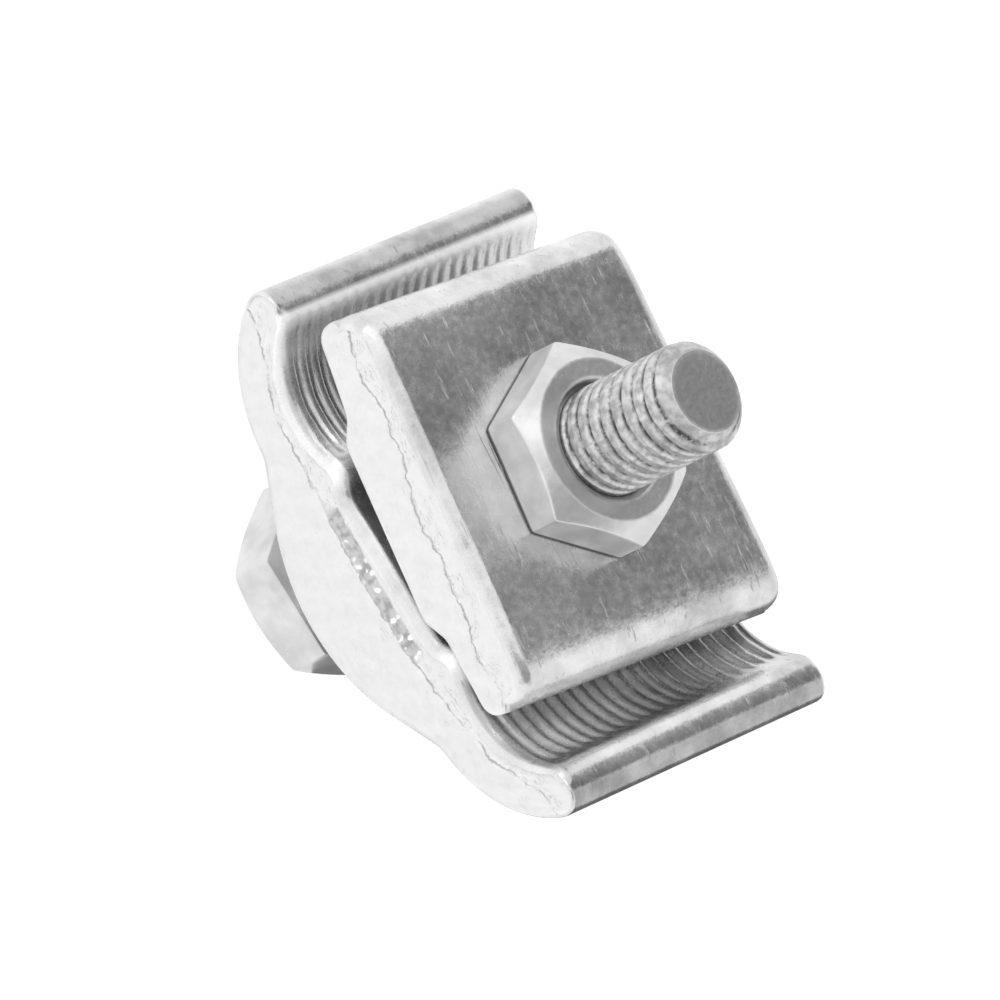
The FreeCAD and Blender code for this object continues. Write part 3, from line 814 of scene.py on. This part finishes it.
def bolt_finish(name, look):
    """Satin zinc on the bolt and nut, dark in the thread's roots."""
    zinc = Finish(name)
    patches = zinc.noise(0.35, 4.0)
    grain = zinc.noise(2.2, 4.0, rough=0.65)
    light = look.bolt_zinc
    colour = zinc.mix(zinc.between(patches, 0.35, 0.68), darker(light, 0.78), light)
    specks = zinc.between(grain, 0.60, 0.72)
    colour = zinc.mix(zinc.times(specks, 0.4), colour, grey(0.92))
    # The thread is duller than the shank, the nut's top face is painted darker as a painted dark
    # reflection, and the bolt's end face is toned down
    tired = zinc.times(zinc.mark("threaded"), zinc.between(zinc.noise(1.4, 4.0), 0.38, 0.62))
    colour = zinc.mix(zinc.times(tired, 0.75), colour, grey(0.33))
    colour = zinc.mix(zinc.times(zinc.mark("faced"), 0.6), colour, grey(0.55))
    colour = zinc.mix(zinc.times(zinc.mark("end_face"), 0.8), colour, grey(0.40))
    # Painted shade: the thread's roots are painted darker, in broken runs
    broken = zinc.between(zinc.noise(0.55, 4.0, rough=0.75), 0.44, 0.56, 0.22, 1.0)
    dark_roots = zinc.times(zinc.between(zinc.mark("root"), 0.35, 0.8), broken)
    colour = zinc.mix(zinc.times(dark_roots, 0.92), colour, darker(look.dark_lines, 0.5))
    # Painted shade: dark lines in the nut's bore and countersink, where the nut meets the keeper, and
    # along the head's seat edge
    seam = zinc.between(zinc.mark("seam"), 0.15, 0.85)
    colour = zinc.mix(zinc.times(seam, 0.8), colour, grey(0.07))
    roughness = zinc.between(grain, 0.3, 0.7, 0.28, 0.42)
    bump = zinc.plus(zinc.times(grain, 0.6), zinc.times(patches, 0.4))
    return zinc.finish(colour, roughness, bump, 0.9)


# Base jaw

def base_place():
    """The base jaw's own frame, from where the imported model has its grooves."""
    right = Vector(MOUNTS["groove_right"]["pos_m"])
    left = Vector(MOUNTS["groove_left"]["pos_m"])
    across = (right - left).normalized()
    tilt = Matrix.Rotation(math.atan2(across.z, across.y), 4, "X")
    axis_height = bpy.context.scene.clamp_base.groove_axis
    return (Matrix.Translation((right + left) / 2) @ tilt
            @ Matrix.Translation((0, 0, -axis_height)))


def base_roll(size):
    """How far the shear pulled the upper side down, less at the lips."""
    def roll(from_near, from_far, across):
        lip = ramp(np.abs(across), 17.5, 5.0)
        uneven = 1 + 0.10 * wave(across, 4, 9.0, 3.1)
        near = np.clip(1 - from_near / size.roll_length, 0, 1) ** 2
        far = np.clip(1 - from_far / (0.7 * size.roll_length), 0, 1) ** 2
        return size.roll_depth * ((1 - 0.55 * lip) * uneven * near + 0.5 * (1 - 0.6 * lip) * far)
    return roll


def base_shear_line(across):
    """Height of the crack across an end face, as the picture shows it."""
    known_y = [-24, -21.5, -18.2, -16, -13.3, -10.6, -7.7, -6, -3, 0, 3.8, 7, 8.3,
               11.4, 13.8, 16.6, 18.1, 20.8, 24]
    known_z = [14.2, 12.9, 10.6, 10.6, 9.7, 9.3, 8.8, 8.6, 8.6, 8.6, 8.9, 9.0, 9.5,
               9.7, 9.8, 10.1, 10.7, 12.2, 14.0]
    return np.interp(across, known_y, known_z) + 0.12 * wave(across, 9, 2.7, 0.9)


def base_relief(across, up, under):
    """Depth of the end face: a smooth band over the crack, a ridge and a rough face."""
    band = 0.16 / (1 + np.exp(np.clip(under / 0.12, -30, 30)))
    torn = ramp(under, 0, 0.8)
    rough = 0.06 * wave(across + 0.6 * up, 21, 3.3, 1.1) * torn
    ridge = 0.05 * wave(across * 1.6 - up, 22, 1.4, 0.6) * (under > -1.6) * (under < 0)
    return band + rough + ridge + 0.05 * torn


def base_torn(across, under):
    """The torn strip over the crack, in the middle of the end face."""
    return (np.abs(across) < 7.6) * ramp(under, -1.7, 0.15) * ramp(-under, 0, 0.08)


def base_surface(bar, size):
    """Marks of the long sides: serrations, dull zinc and painted shade, and painted highlight on walls
    and ridges.
    """
    y, z = bar.loop[:, 0], bar.loop[:, 1]
    right = y > 0
    out, down = np.abs(y) - size.groove_offset, size.groove_axis - z
    # Degrees from the groove's lowest line, rising towards the lip
    angle = np.degrees(np.arctan2(out, down))
    on_groove = (np.hypot(out, down) < size.groove_radius + 0.35) & (bar.is_upper > 0)
    # The serrations end at these degrees and get shallower up the +Y groove's wall
    last = np.where(right, 66, 55)
    shallow = np.where(right, 0.85 - 0.4 * ramp(angle, 15, 30), 1)
    serrated = on_groove * ramp(angle, -25, 8) * ramp(last - angle, 0, 9) * shallow

    # Painted shade: the -Y lip's outer side, and the +Y lip's crest by the way it faces
    facing = np.degrees(np.arctan2(bar.normal[:, 0], bar.normal[:, 1]))
    crest = ramp(facing, -25, 20) * ramp(50 - facing, 0, 18) * (y > 20)
    dull = np.maximum(ramp(-y, 24.2, 0.8), 0.65 * crest)

    # Painted highlight: the +Y groove's wall and both ridges
    groove_end = size.groove_offset + size.groove_radius + 0.4
    wall = 0.4 * ramp(angle, 32, 12) + 0.6 * ramp(angle, 56, 8)
    wall_painted_light = bar.is_upper * right * wall * ramp(groove_end - y, 0, 0.5)
    from_ridge = np.abs(np.abs(y) - size.ridge_half - 0.3)
    ridge_painted_light = 0.7 * np.clip(1.6 - from_ridge, 0, 1) * bar.is_upper
    # The cuts keep this share of their depth where the zinc has filled them
    plain = np.where(right, 0.75, 0.22)

    def surface(from_near, from_far, fall):
        nearest = np.minimum(from_near, from_far)
        crisp = np.maximum(np.exp(-from_near / 9.0), np.exp(-from_far / 4.0))
        fresh = plain + (1 - plain) * crisp
        smeared = 0.42 * serrated * (y < 0) * np.clip(1.3 * (1 - fresh), 0, 1)
        paler_groove_by_ends = 0.25 * on_groove * right * np.exp(-nearest / 3.5)
        # The pale mark: painted highlight on the +Y groove's wall and the ridges, and paler zinc in
        # the +Y groove by the ends
        pale = wall_painted_light + ridge_painted_light * np.exp(-nearest / 1.2) + paler_groove_by_ends
        return {"serrated": serrated * fresh * (fall < 0.5), "dull": np.maximum(dull, smeared),
                "pale": np.clip(pale, 0, 1)}
    return surface


def slot_outline(size):
    """The bolt slot: two half circles joined by straight sides, long across the jaw."""
    centre = size.slot_half - size.slot_radius
    return (arc((0, centre), size.slot_radius, 0, 180, 0.6)
            + arc((0, -centre), size.slot_radius, 180, 360, 0.6))


class CLAMP_OT_base_jaw(bpy.types.Operator):
    """Add the base jaw with its grooves, serrations, bolt slot and sheared ends"""
    bl_idname = "clamp.base_jaw"
    bl_label = "Base jaw"

    def execute(self, context):
        size = in_mm(context.scene.clamp_base)
        bar = ShearedBar(*base_chains(size))
        half = size.length / 2
        columns = np.linspace(0.012, 0.988, 256)
        shear_bar(bar, columns, end_plane(-half), end_plane(half), BASE_EDGE_ROUND_MM,
                  base_roll(size), base_relief, base_shear_line, base_torn,
                  base_surface(bar, size))
        place = base_place()
        piece = bar.build("base_jaw_rough", place)
        material = jaw_finish("galvanised base", context.scene.clamp_look)
        use_tree(piece, serration_tree(material), {
            "Pitch": size.serration_pitch, "Depth": size.serration_depth,
            "Start": size.first_serration - half, "Wander": SERRATION_WANDER_MM})
        tool = punch(piece, "slot tool", slot_outline(size), low=-5, high=25, place=place)
        piece = finished_mesh(piece, "base_jaw_body", tool)
        settle(piece, "base", "base_jaw", material)
        return {"FINISHED"}


# Keeper plate

def keeper_roll(size):
    """How far the shear pulled the top down at each end."""
    def roll(from_near, from_far, across):
        uneven = 1 + 0.2 * wave(across, 5, 11.0, 3.7)
        near = np.clip(1 - from_near / size.roll_length, 0, 1) ** 2
        far = np.clip(1 - from_far / size.roll_length, 0, 1) ** 2
        return size.roll_depth * (uneven * near + 0.45 * far)
    return roll


def keeper_shear_line(top):
    """Height of the crack across an end face, as the picture shows it under the top."""
    def line(across):
        known_y = [-17, -15, -12.9, -10.4, -8.7, -6.4, -4.2, -1.2, 0.8, 3.5, 5.3, 7.3,
                   8.4, 10.1, 12.4, 13.9, 17.5]
        below = [3.5, 3.5, 4.2, 3.6, 3.3, 3.6, 3.2, 3.8, 3.8, 3.0, 2.5, 2.6, 2.4, 2.5,
                 3.1, 3.1, 2.2]
        return top - np.interp(across, known_y, below) + 0.10 * wave(across, 8, 2.1, 0.8)
    return line


def keeper_relief(across, up, under):
    """Depth of the end face: a smooth band over the crack and a rough face under it."""
    band = 0.10 / (1 + np.exp(np.clip(under / 0.1, -30, 30)))
    torn = ramp(under, 0, 0.8)
    return band + 0.05 * wave(across + 0.7 * up, 31, 4.1, 1.3) * torn + 0.04 * torn


def keeper_columns():
    """Shares of the length, closer together beside the two ends."""
    ends = np.linspace(0.0, 1.0, 26) ** 1.6 * 0.10
    return np.r_[0.009 + ends, np.linspace(0.12, 0.88, 60), (0.991 - ends)[::-1]]


class CLAMP_OT_keeper_plate(bpy.types.Operator):
    """Add the keeper plate with its boss, bolt hole and sheared ends"""
    bl_idname = "clamp.keeper_plate"
    bl_label = "Keeper plate"

    def execute(self, context):
        size = in_mm(context.scene.clamp_keeper)
        bar = ShearedBar(*keeper_chains(size))
        half = size.length / 2
        shear_bar(bar, keeper_columns(), end_plane(-half, math.tan(size.near_skew)),
                  end_plane(half, math.tan(size.far_skew)), KEEPER_EDGE_ROUND_MM,
                  keeper_roll(size), keeper_relief, keeper_shear_line(size.thickness))
        place = (Matrix.Translation((0, 0, (KEEPER_TOP_MM - size.thickness) * MM))
                 @ Matrix.Rotation(size.turn, 4, "Z"))
        piece = bar.build("keeper_plate_rough", place)
        hole = arc((0, 0), size.hole_radius, 0, 360, 0.5)[:-1]
        tool = punch(piece, "hole tool", hole, low=-5, high=15, place=place)
        piece = finished_mesh(piece, "keeper_plate_body", tool)
        material = jaw_finish("galvanised keeper", context.scene.clamp_look)
        settle(piece, "keeper", "keeper_plate", material)
        return {"FINISHED"}


# Bolt and nut

def hexagon_radius(angles, flats):
    """Distance from the axis to a hexagon whose corners are blunted and softened."""
    turned = (angles + math.pi / 6) % (math.pi / 3) - math.pi / 6
    sharp = flats / 2 / np.cos(turned)
    limit = flats / 2 / math.cos(math.pi / 6) - CORNER_BLUNT_MM
    both = np.exp(-sharp * CORNER_KEENNESS) + np.exp(-limit * CORNER_KEENNESS)
    return -np.log(both) / CORNER_KEENNESS


class TurnedPiece:
    """Rings of points about the Z axis, joined in order, closed at both ends or looped."""

    def __init__(self, steps):
        self.angles = np.linspace(0, 2 * math.pi, steps, endpoint=False)
        self.rings = []

    def ring(self, radius, height, **marks):
        ones = np.ones(len(self.angles))
        self.rings.append((radius * ones, height * ones, marks))

    def build(self, name, turn_z, looped=False):
        steps, count = len(self.angles), len(self.rings)
        around = [(a, (a + 1) % steps) for a in range(steps)]
        verts, faces = [], []
        names = sorted({key for _, _, marks in self.rings for key in marks})
        values = {key: [] for key in names}
        for radii, heights, marks in self.rings:
            for radius, height, angle in zip(radii, heights, self.angles):
                verts.append((radius * math.cos(angle), radius * math.sin(angle), height))
            for key in names:
                values[key] += [marks.get(key, 0.0)] * steps
        for row in range(count if looped else count - 1):
            first, second = row * steps, (row + 1) % count * steps
            faces += [(first + a, first + b, second + b, second + a) for a, b in around]
        for row in () if looped else (0, count - 1):
            _, heights, marks = self.rings[row]
            centre = len(verts)
            verts.append((0, 0, heights[0]))
            for key in names:
                values[key].append(marks.get(key, 0.0))
            fan = [(row * steps + a, row * steps + b, centre) for a, b in around]
            faces += fan if row else [face[::-1] for face in fan]
        return closed_piece(name, verts, faces, values, Matrix.Rotation(turn_z, 4, "Z"))


def hexagon_rings(piece, flats, face_share, bevel, low, high, bevel_up, inset, painted_shade_mark):
    """The six sides, bevelled at one face. Rings run from low to high.

    The other face's edge is drawn in by the inset and carries a painted shade line along it.
    """
    face = flats / 2 * face_share
    sides = hexagon_radius(piece.angles, flats)
    fall = (sides - face) * math.tan(bevel)
    rings = []
    for share in (0.0, 0.06, 0.3, 0.6, 0.88, 0.97, 1.0):
        # Rounds the edge between bevel and side
        soft = 0.04 * math.exp(-((1 - share) / 0.04) ** 2)
        rings.append((face + (sides - face) * share - soft, fall * share + soft * 0.2, 0.0))
    for share in (0.02, 0.06, 0.5, 0.93, 0.97, 1.0):
        drawn_in = inset if share == 1.0 else 0.0
        height = fall + (high - low - fall) * share
        rings.append((sides - drawn_in, height, painted_shade_mark * (share > 0.96)))
    for radius, height, seam in rings[::-1] if bevel_up else rings:
        piece.ring(radius, high - height if bevel_up else low + height, seam=seam)


def head_rings(bolt, size):
    """The head, from its outer face up to its seat, and the shank's first round."""
    half, radius = size.head_flats / 2, size.diameter / 2
    for share in (0.4, 0.75, 0.97):
        bolt.ring(half * size.head_face_share * share, 0.0)
    # The head's seat edge carries a faint painted shade line
    hexagon_rings(bolt, size.head_flats, size.head_face_share, size.bevel, 0.0, HEAD_SEAT_MM,
                  bevel_up=False, inset=0.03, painted_shade_mark=0.25)
    bolt.ring(hexagon_radius(bolt.angles, size.head_flats) - 0.15, HEAD_SEAT_MM)
    bolt.ring(half * 0.8, HEAD_SEAT_MM)
    bolt.ring(radius + 0.35, HEAD_SEAT_MM)
    bolt.ring(radius - 0.06, HEAD_SEAT_MM + 0.35)


def shank_rings(bolt, size, start):
    """The plain shank up to the start of the thread, then the thread's smooth rod."""
    radius, bevel_start = size.diameter / 2, BOLT_TOP_MM - size.end_bevel
    for height in np.linspace(HEAD_SEAT_MM + 1.0, start, 8):
        bolt.ring(radius - SHANK_UNDER_MM, height)
    for height in np.arange(start + THREAD_RING_MM, BOLT_TOP_MM - 0.001, THREAD_RING_MM):
        # The bevel is nearly straight and turns in a little faster at its start
        into = max(0.0, height - bevel_start)
        bolt.ring(radius - into ** 0.9 * size.end_bevel ** 0.1, height, threaded=1.0,
                  end_face=0.4 * min(1.0, into / 0.4))


def end_rings(bolt, size):
    """The bolt's end face, sunk a little inside its edge."""
    face, top = size.diameter / 2 - size.end_bevel, BOLT_TOP_MM
    bolt.ring(face + 0.02, top - 0.01, end_face=0.15)
    bolt.ring(face - 0.1, top, end_face=0.2)
    bolt.ring(face - 0.35, top - 0.03, end_face=1.0)
    for share in (0.75, 0.5, 0.25):
        bolt.ring(face * share, top - 0.05, end_face=1.0)


class CLAMP_OT_bolt(bpy.types.Operator):
    """Add the hexagon head bolt and its thread"""
    bl_idname = "clamp.bolt"
    bl_label = "Bolt"

    def execute(self, context):
        size = in_mm(context.scene.clamp_bolt)
        material = bolt_finish("zinc bolt", context.scene.clamp_look)
        bolt = TurnedPiece(size.angles)
        start = BOLT_TOP_MM - size.thread_length
        head_rings(bolt, size)
        shank_rings(bolt, size, start)
        end_rings(bolt, size)
        piece = bolt.build("bolt_rough", size.head_turn)
        use_tree(piece, thread_tree(material), {
            "Pitch": size.pitch, "Depth": size.thread_depth, "Low": start,
            "High": size.diameter / 2})
        piece = finished_mesh(piece, "bolt_body")
        settle(piece, "bolt", "hex_bolt", material)
        return {"FINISHED"}


class CLAMP_OT_nut(bpy.types.Operator):
    """Add the thin hexagon nut"""
    bl_idname = "clamp.nut"
    bl_label = "Nut"

    def execute(self, context):
        size = in_mm(context.scene.clamp_bolt)
        material = bolt_finish("zinc nut", context.scene.clamp_look)
        nut = TurnedPiece(size.angles)
        flats, mouth = size.nut_flats, size.nut_mouth / 2
        low, high = KEEPER_TOP_MM, NUT_TOP_MM
        face = flats / 2 * size.nut_face_share
        # Down the bore, out under the nut, up its sides and in over its top
        # The bore, the nut's lower edge and its countersink carry painted shade lines
        for height in np.linspace(high - 0.45, low + 0.45, 24):
            nut.ring(size.diameter / 2 + NUT_THREAD_AIR_MM, height, seam=0.6)
        nut.ring(mouth, low)
        nut.ring(mouth + 0.3, low)
        nut.ring(hexagon_radius(nut.angles, flats) - 0.35, low)
        nut.ring(hexagon_radius(nut.angles, flats) - 0.22, low)
        hexagon_rings(nut, flats, size.nut_face_share, size.bevel, low + 0.08, high,
                      bevel_up=True, inset=0.0, painted_shade_mark=1.0)
        # The nut's top face is painted darker: a painted dark reflection
        for radius in (face - 0.3, (face + mouth) / 2, mouth + 0.45):
            nut.ring(radius, high, faced=1.0)
        nut.ring(mouth + 0.12, high - 0.02, seam=0.2)
        nut.ring(mouth - 0.05, high - 0.12, seam=0.5)
        piece = nut.build("nut_rough", size.nut_turn, looped=True)
        piece = finished_mesh(piece, "nut_body")
        settle(piece, "nut", "hex_nut", material)
        return {"FINISHED"}


# Stage

# The camera fitted to the picture: its place and its three axes
CAMERA_AT = Vector((-797.496, -30.324, 874.474)) * MM
CAMERA_RIGHT = Vector((0.66895, -0.41861, 0.61422))
CAMERA_DOWN = Vector((-0.28918, -0.90780, -0.30376))
CAMERA_AHEAD = Vector((0.68475, 0.02558, -0.72833))
CAMERA_LENS = 484.2
CAMERA_SENSOR = 36.0
CAMERA_REACH = 50.0

# Lamps, cards and floor, in metres
LAMP_AIM = Vector((0, 0, 0.027))
LAMP_DISTANCE = 1.3
# Each lamp's direction and width
KEY_LAMP = ("key soft box", (-0.66, 0.60, 0.45), 1.5)
FILL_LAMP = ("fill soft box", (0.35, -0.50, 0.80), 1.0)
CARD_AIM = Vector((0, 0, 0.035))
CARD_DISTANCE = 0.8
# Each card's direction, half width, half height and brightness
GREY_CARDS = (("grey card", (0.685, 0.085, 0.728), 0.20, 0.30, 0.20),
              ("overhead card", (-0.10, -0.46, 0.88), 0.42, 0.32, 0.33),
              ("bright card", (-0.20, 0.58, 0.79), 0.30, 0.28, 1.2),
              ("side card", (-0.30, 0.64, 0.71), 0.16, 0.12, 2.2))
FLOOR_HALF = 4.0
FLOOR_HEIGHT = -0.0002
SHADE_LOW, SHADE_HIGH = (-0.005, -0.12), (0.12, -0.005)
SHADE_HEIGHT = 0.0003


def add_camera(scene):
    """The camera that sees the clamp as the picture does."""
    camera = bpy.data.cameras.new("camera")
    camera.sensor_width = CAMERA_SENSOR
    camera.lens = CAMERA_LENS
    camera.clip_end = CAMERA_REACH
    eye = add_object("camera", camera)
    axes = Matrix((CAMERA_RIGHT, -CAMERA_DOWN, -CAMERA_AHEAD)).transposed().to_4x4()
    eye.matrix_world = Matrix.Translation(CAMERA_AT) @ axes
    scene.camera = eye


def soft_box(name, towards, size, energy):
    """A round lamp that gloss doesn't see, facing the clamp."""
    lamp = bpy.data.lights.new(name, "AREA")
    lamp.shape = "DISK"
    lamp.size = size
    lamp.energy = energy
    piece = add_object(name, lamp)
    towards = Vector(towards).normalized()
    piece.matrix_world = (Matrix.Translation(LAMP_AIM + towards * LAMP_DISTANCE)
                          @ towards.to_track_quat("Z", "Y").to_matrix().to_4x4())
    piece.visible_glossy = False


def seen_directly(nodes):
    """1 for rays of the camera and those off gloss or through clear things, else 0."""
    path = nodes.add("ShaderNodeLightPath").outputs
    shiny = nodes.math("MAXIMUM", path["Is Glossy Ray"], path["Is Transmission Ray"])
    return nodes.math("MAXIMUM", path["Is Camera Ray"], shiny)


def plain_material(name, glow_level, colour=0.0, seen_colour=0.0):
    """A glow for the camera and for gloss, over a dull colour that keeps the shadow."""
    material = bpy.data.materials.new(name)
    material.use_nodes = True
    nodes = NodeTree(material.node_tree)
    out = material.node_tree.nodes["Material Output"]
    material.node_tree.nodes.remove(material.node_tree.nodes["Principled BSDF"])
    seen = seen_directly(nodes)
    glow = nodes.add("ShaderNodeEmission", {"Strength": nodes.times(seen, glow_level)})
    shade = nodes.math("MULTIPLY_ADD", seen, seen_colour - colour, colour)
    shade = nodes.add("ShaderNodeCombineColor", [shade] * 3).outputs[0]
    dull = nodes.add("ShaderNodeBsdfDiffuse", {"Color": shade})
    both = nodes.add("ShaderNodeAddShader", [dull.outputs[0], glow.outputs[0]])
    material.node_tree.links.new(both.outputs[0], out.inputs["Surface"])
    return material


def plate(name, corners, material):
    """A flat part of the stage with four corners, in metres."""
    mesh = bpy.data.meshes.new(name)
    mesh.from_pydata([Vector(c) for c in corners], [], [(0, 1, 2, 3)])
    mesh.materials.append(material)
    piece = add_object(name, mesh)
    return piece


def level_corners(low, high, height):
    """Corners of a level rectangle between two opposite ones."""
    return [(low[0], low[1], height), (high[0], low[1], height),
            (high[0], high[1], height), (low[0], high[1], height)]


def only_reflected(card):
    """Leave the card to gloss: it shows nowhere else and casts no shadow."""
    card.visible_camera = False
    card.visible_diffuse = False
    card.visible_shadow = False


def grey_card(name, towards, half_width, half_height, level):
    """A card that only reflections see."""
    ahead = Vector(towards).normalized()
    side = Vector((0, 0, 1)).cross(ahead).normalized()
    up = ahead.cross(side)
    centre = CARD_AIM + ahead * CARD_DISTANCE
    corners = [centre + side * a * half_width + up * b * half_height
               for a, b in ((-1, -1), (1, -1), (1, 1), (-1, 1))]
    only_reflected(plate(name, corners, plain_material(name, level)))


def light_world(scene, sky):
    """White for the camera and for gloss, the sky's strength for the rest."""
    world = bpy.data.worlds.new("studio")
    scene.world = world
    world.use_nodes = True
    nodes = NodeTree(world.node_tree)
    background = world.node_tree.nodes["Background"]
    strength = nodes.math("MULTIPLY_ADD", seen_directly(nodes), 1 - sky, sky)
    world.node_tree.links.new(strength, background.inputs["Strength"])
    background.inputs["Color"].default_value = (1, 1, 1, 1)


class CLAMP_OT_stage(bpy.types.Operator):
    """Add the camera, the pale floor and the studio lights"""
    bl_idname = "clamp.stage"
    bl_label = "Stage"

    def execute(self, context):
        scene, look = context.scene, context.scene.clamp_look
        add_camera(scene)
        half = FLOOR_HALF
        plate("floor", level_corners((-half, -half), (half, half), FLOOR_HEIGHT),
              plain_material("floor", glow_level=0.9, colour=0.8, seen_colour=0.16))
        light_world(scene, look.sky)
        soft_box(*KEY_LAMP, look.key)
        soft_box(*FILL_LAMP, look.fill)
        for card in GREY_CARDS:
            grey_card(*card)
        # On the floor at the -Y side: the undersides reflect it and look darker
        shade = plate("shade card", level_corners(SHADE_LOW, SHADE_HIGH, SHADE_HEIGHT),
                      plain_material("shade card", glow_level=0.2))
        only_reflected(shade)
        scene.view_settings.view_transform = "Standard"
        return {"FINISHED"}


class CLAMP_PT_panel(bpy.types.Panel):
    """Lists the clamp's pieces"""
    bl_idname = "CLAMP_PT_panel"
    bl_label = "Parallel groove clamp"
    bl_space_type = "VIEW_3D"
    bl_region_type = "UI"
    bl_category = "Clamp"

    def draw(self, context):
        layout = self.layout
        for operator in PIECES:
            layout.operator(operator.bl_idname)
        for group in ("clamp_base", "clamp_keeper", "clamp_bolt", "clamp_look"):
            box = layout.box()
            sizes = getattr(context.scene, group)
            for key in sizes.__annotations__:
                box.prop(sizes, key)


PIECES = (CLAMP_OT_stage, CLAMP_OT_base_jaw, CLAMP_OT_keeper_plate, CLAMP_OT_bolt, CLAMP_OT_nut)
GROUPS = {"clamp_base": ClampBaseSizes, "clamp_keeper": ClampKeeperSizes,
          "clamp_bolt": ClampBoltSizes, "clamp_look": ClampLook}


def register():
    for group in GROUPS.values():
        bpy.utils.register_class(group)
    for name, group in GROUPS.items():
        setattr(bpy.types.Scene, name, PointerProperty(type=group))
    for item in (*PIECES, CLAMP_PT_panel):
        bpy.utils.register_class(item)


def unregister():
    for item in (CLAMP_PT_panel, *reversed(PIECES)):
        bpy.utils.unregister_class(item)
    for name, group in reversed(GROUPS.items()):
        delattr(bpy.types.Scene, name)
        bpy.utils.unregister_class(group)


def main():
    register()
    for operator in PIECES:
        group, name = operator.bl_idname.split(".")
        getattr(getattr(bpy.ops, group), name)()


if __name__ == "__main__":
    main()
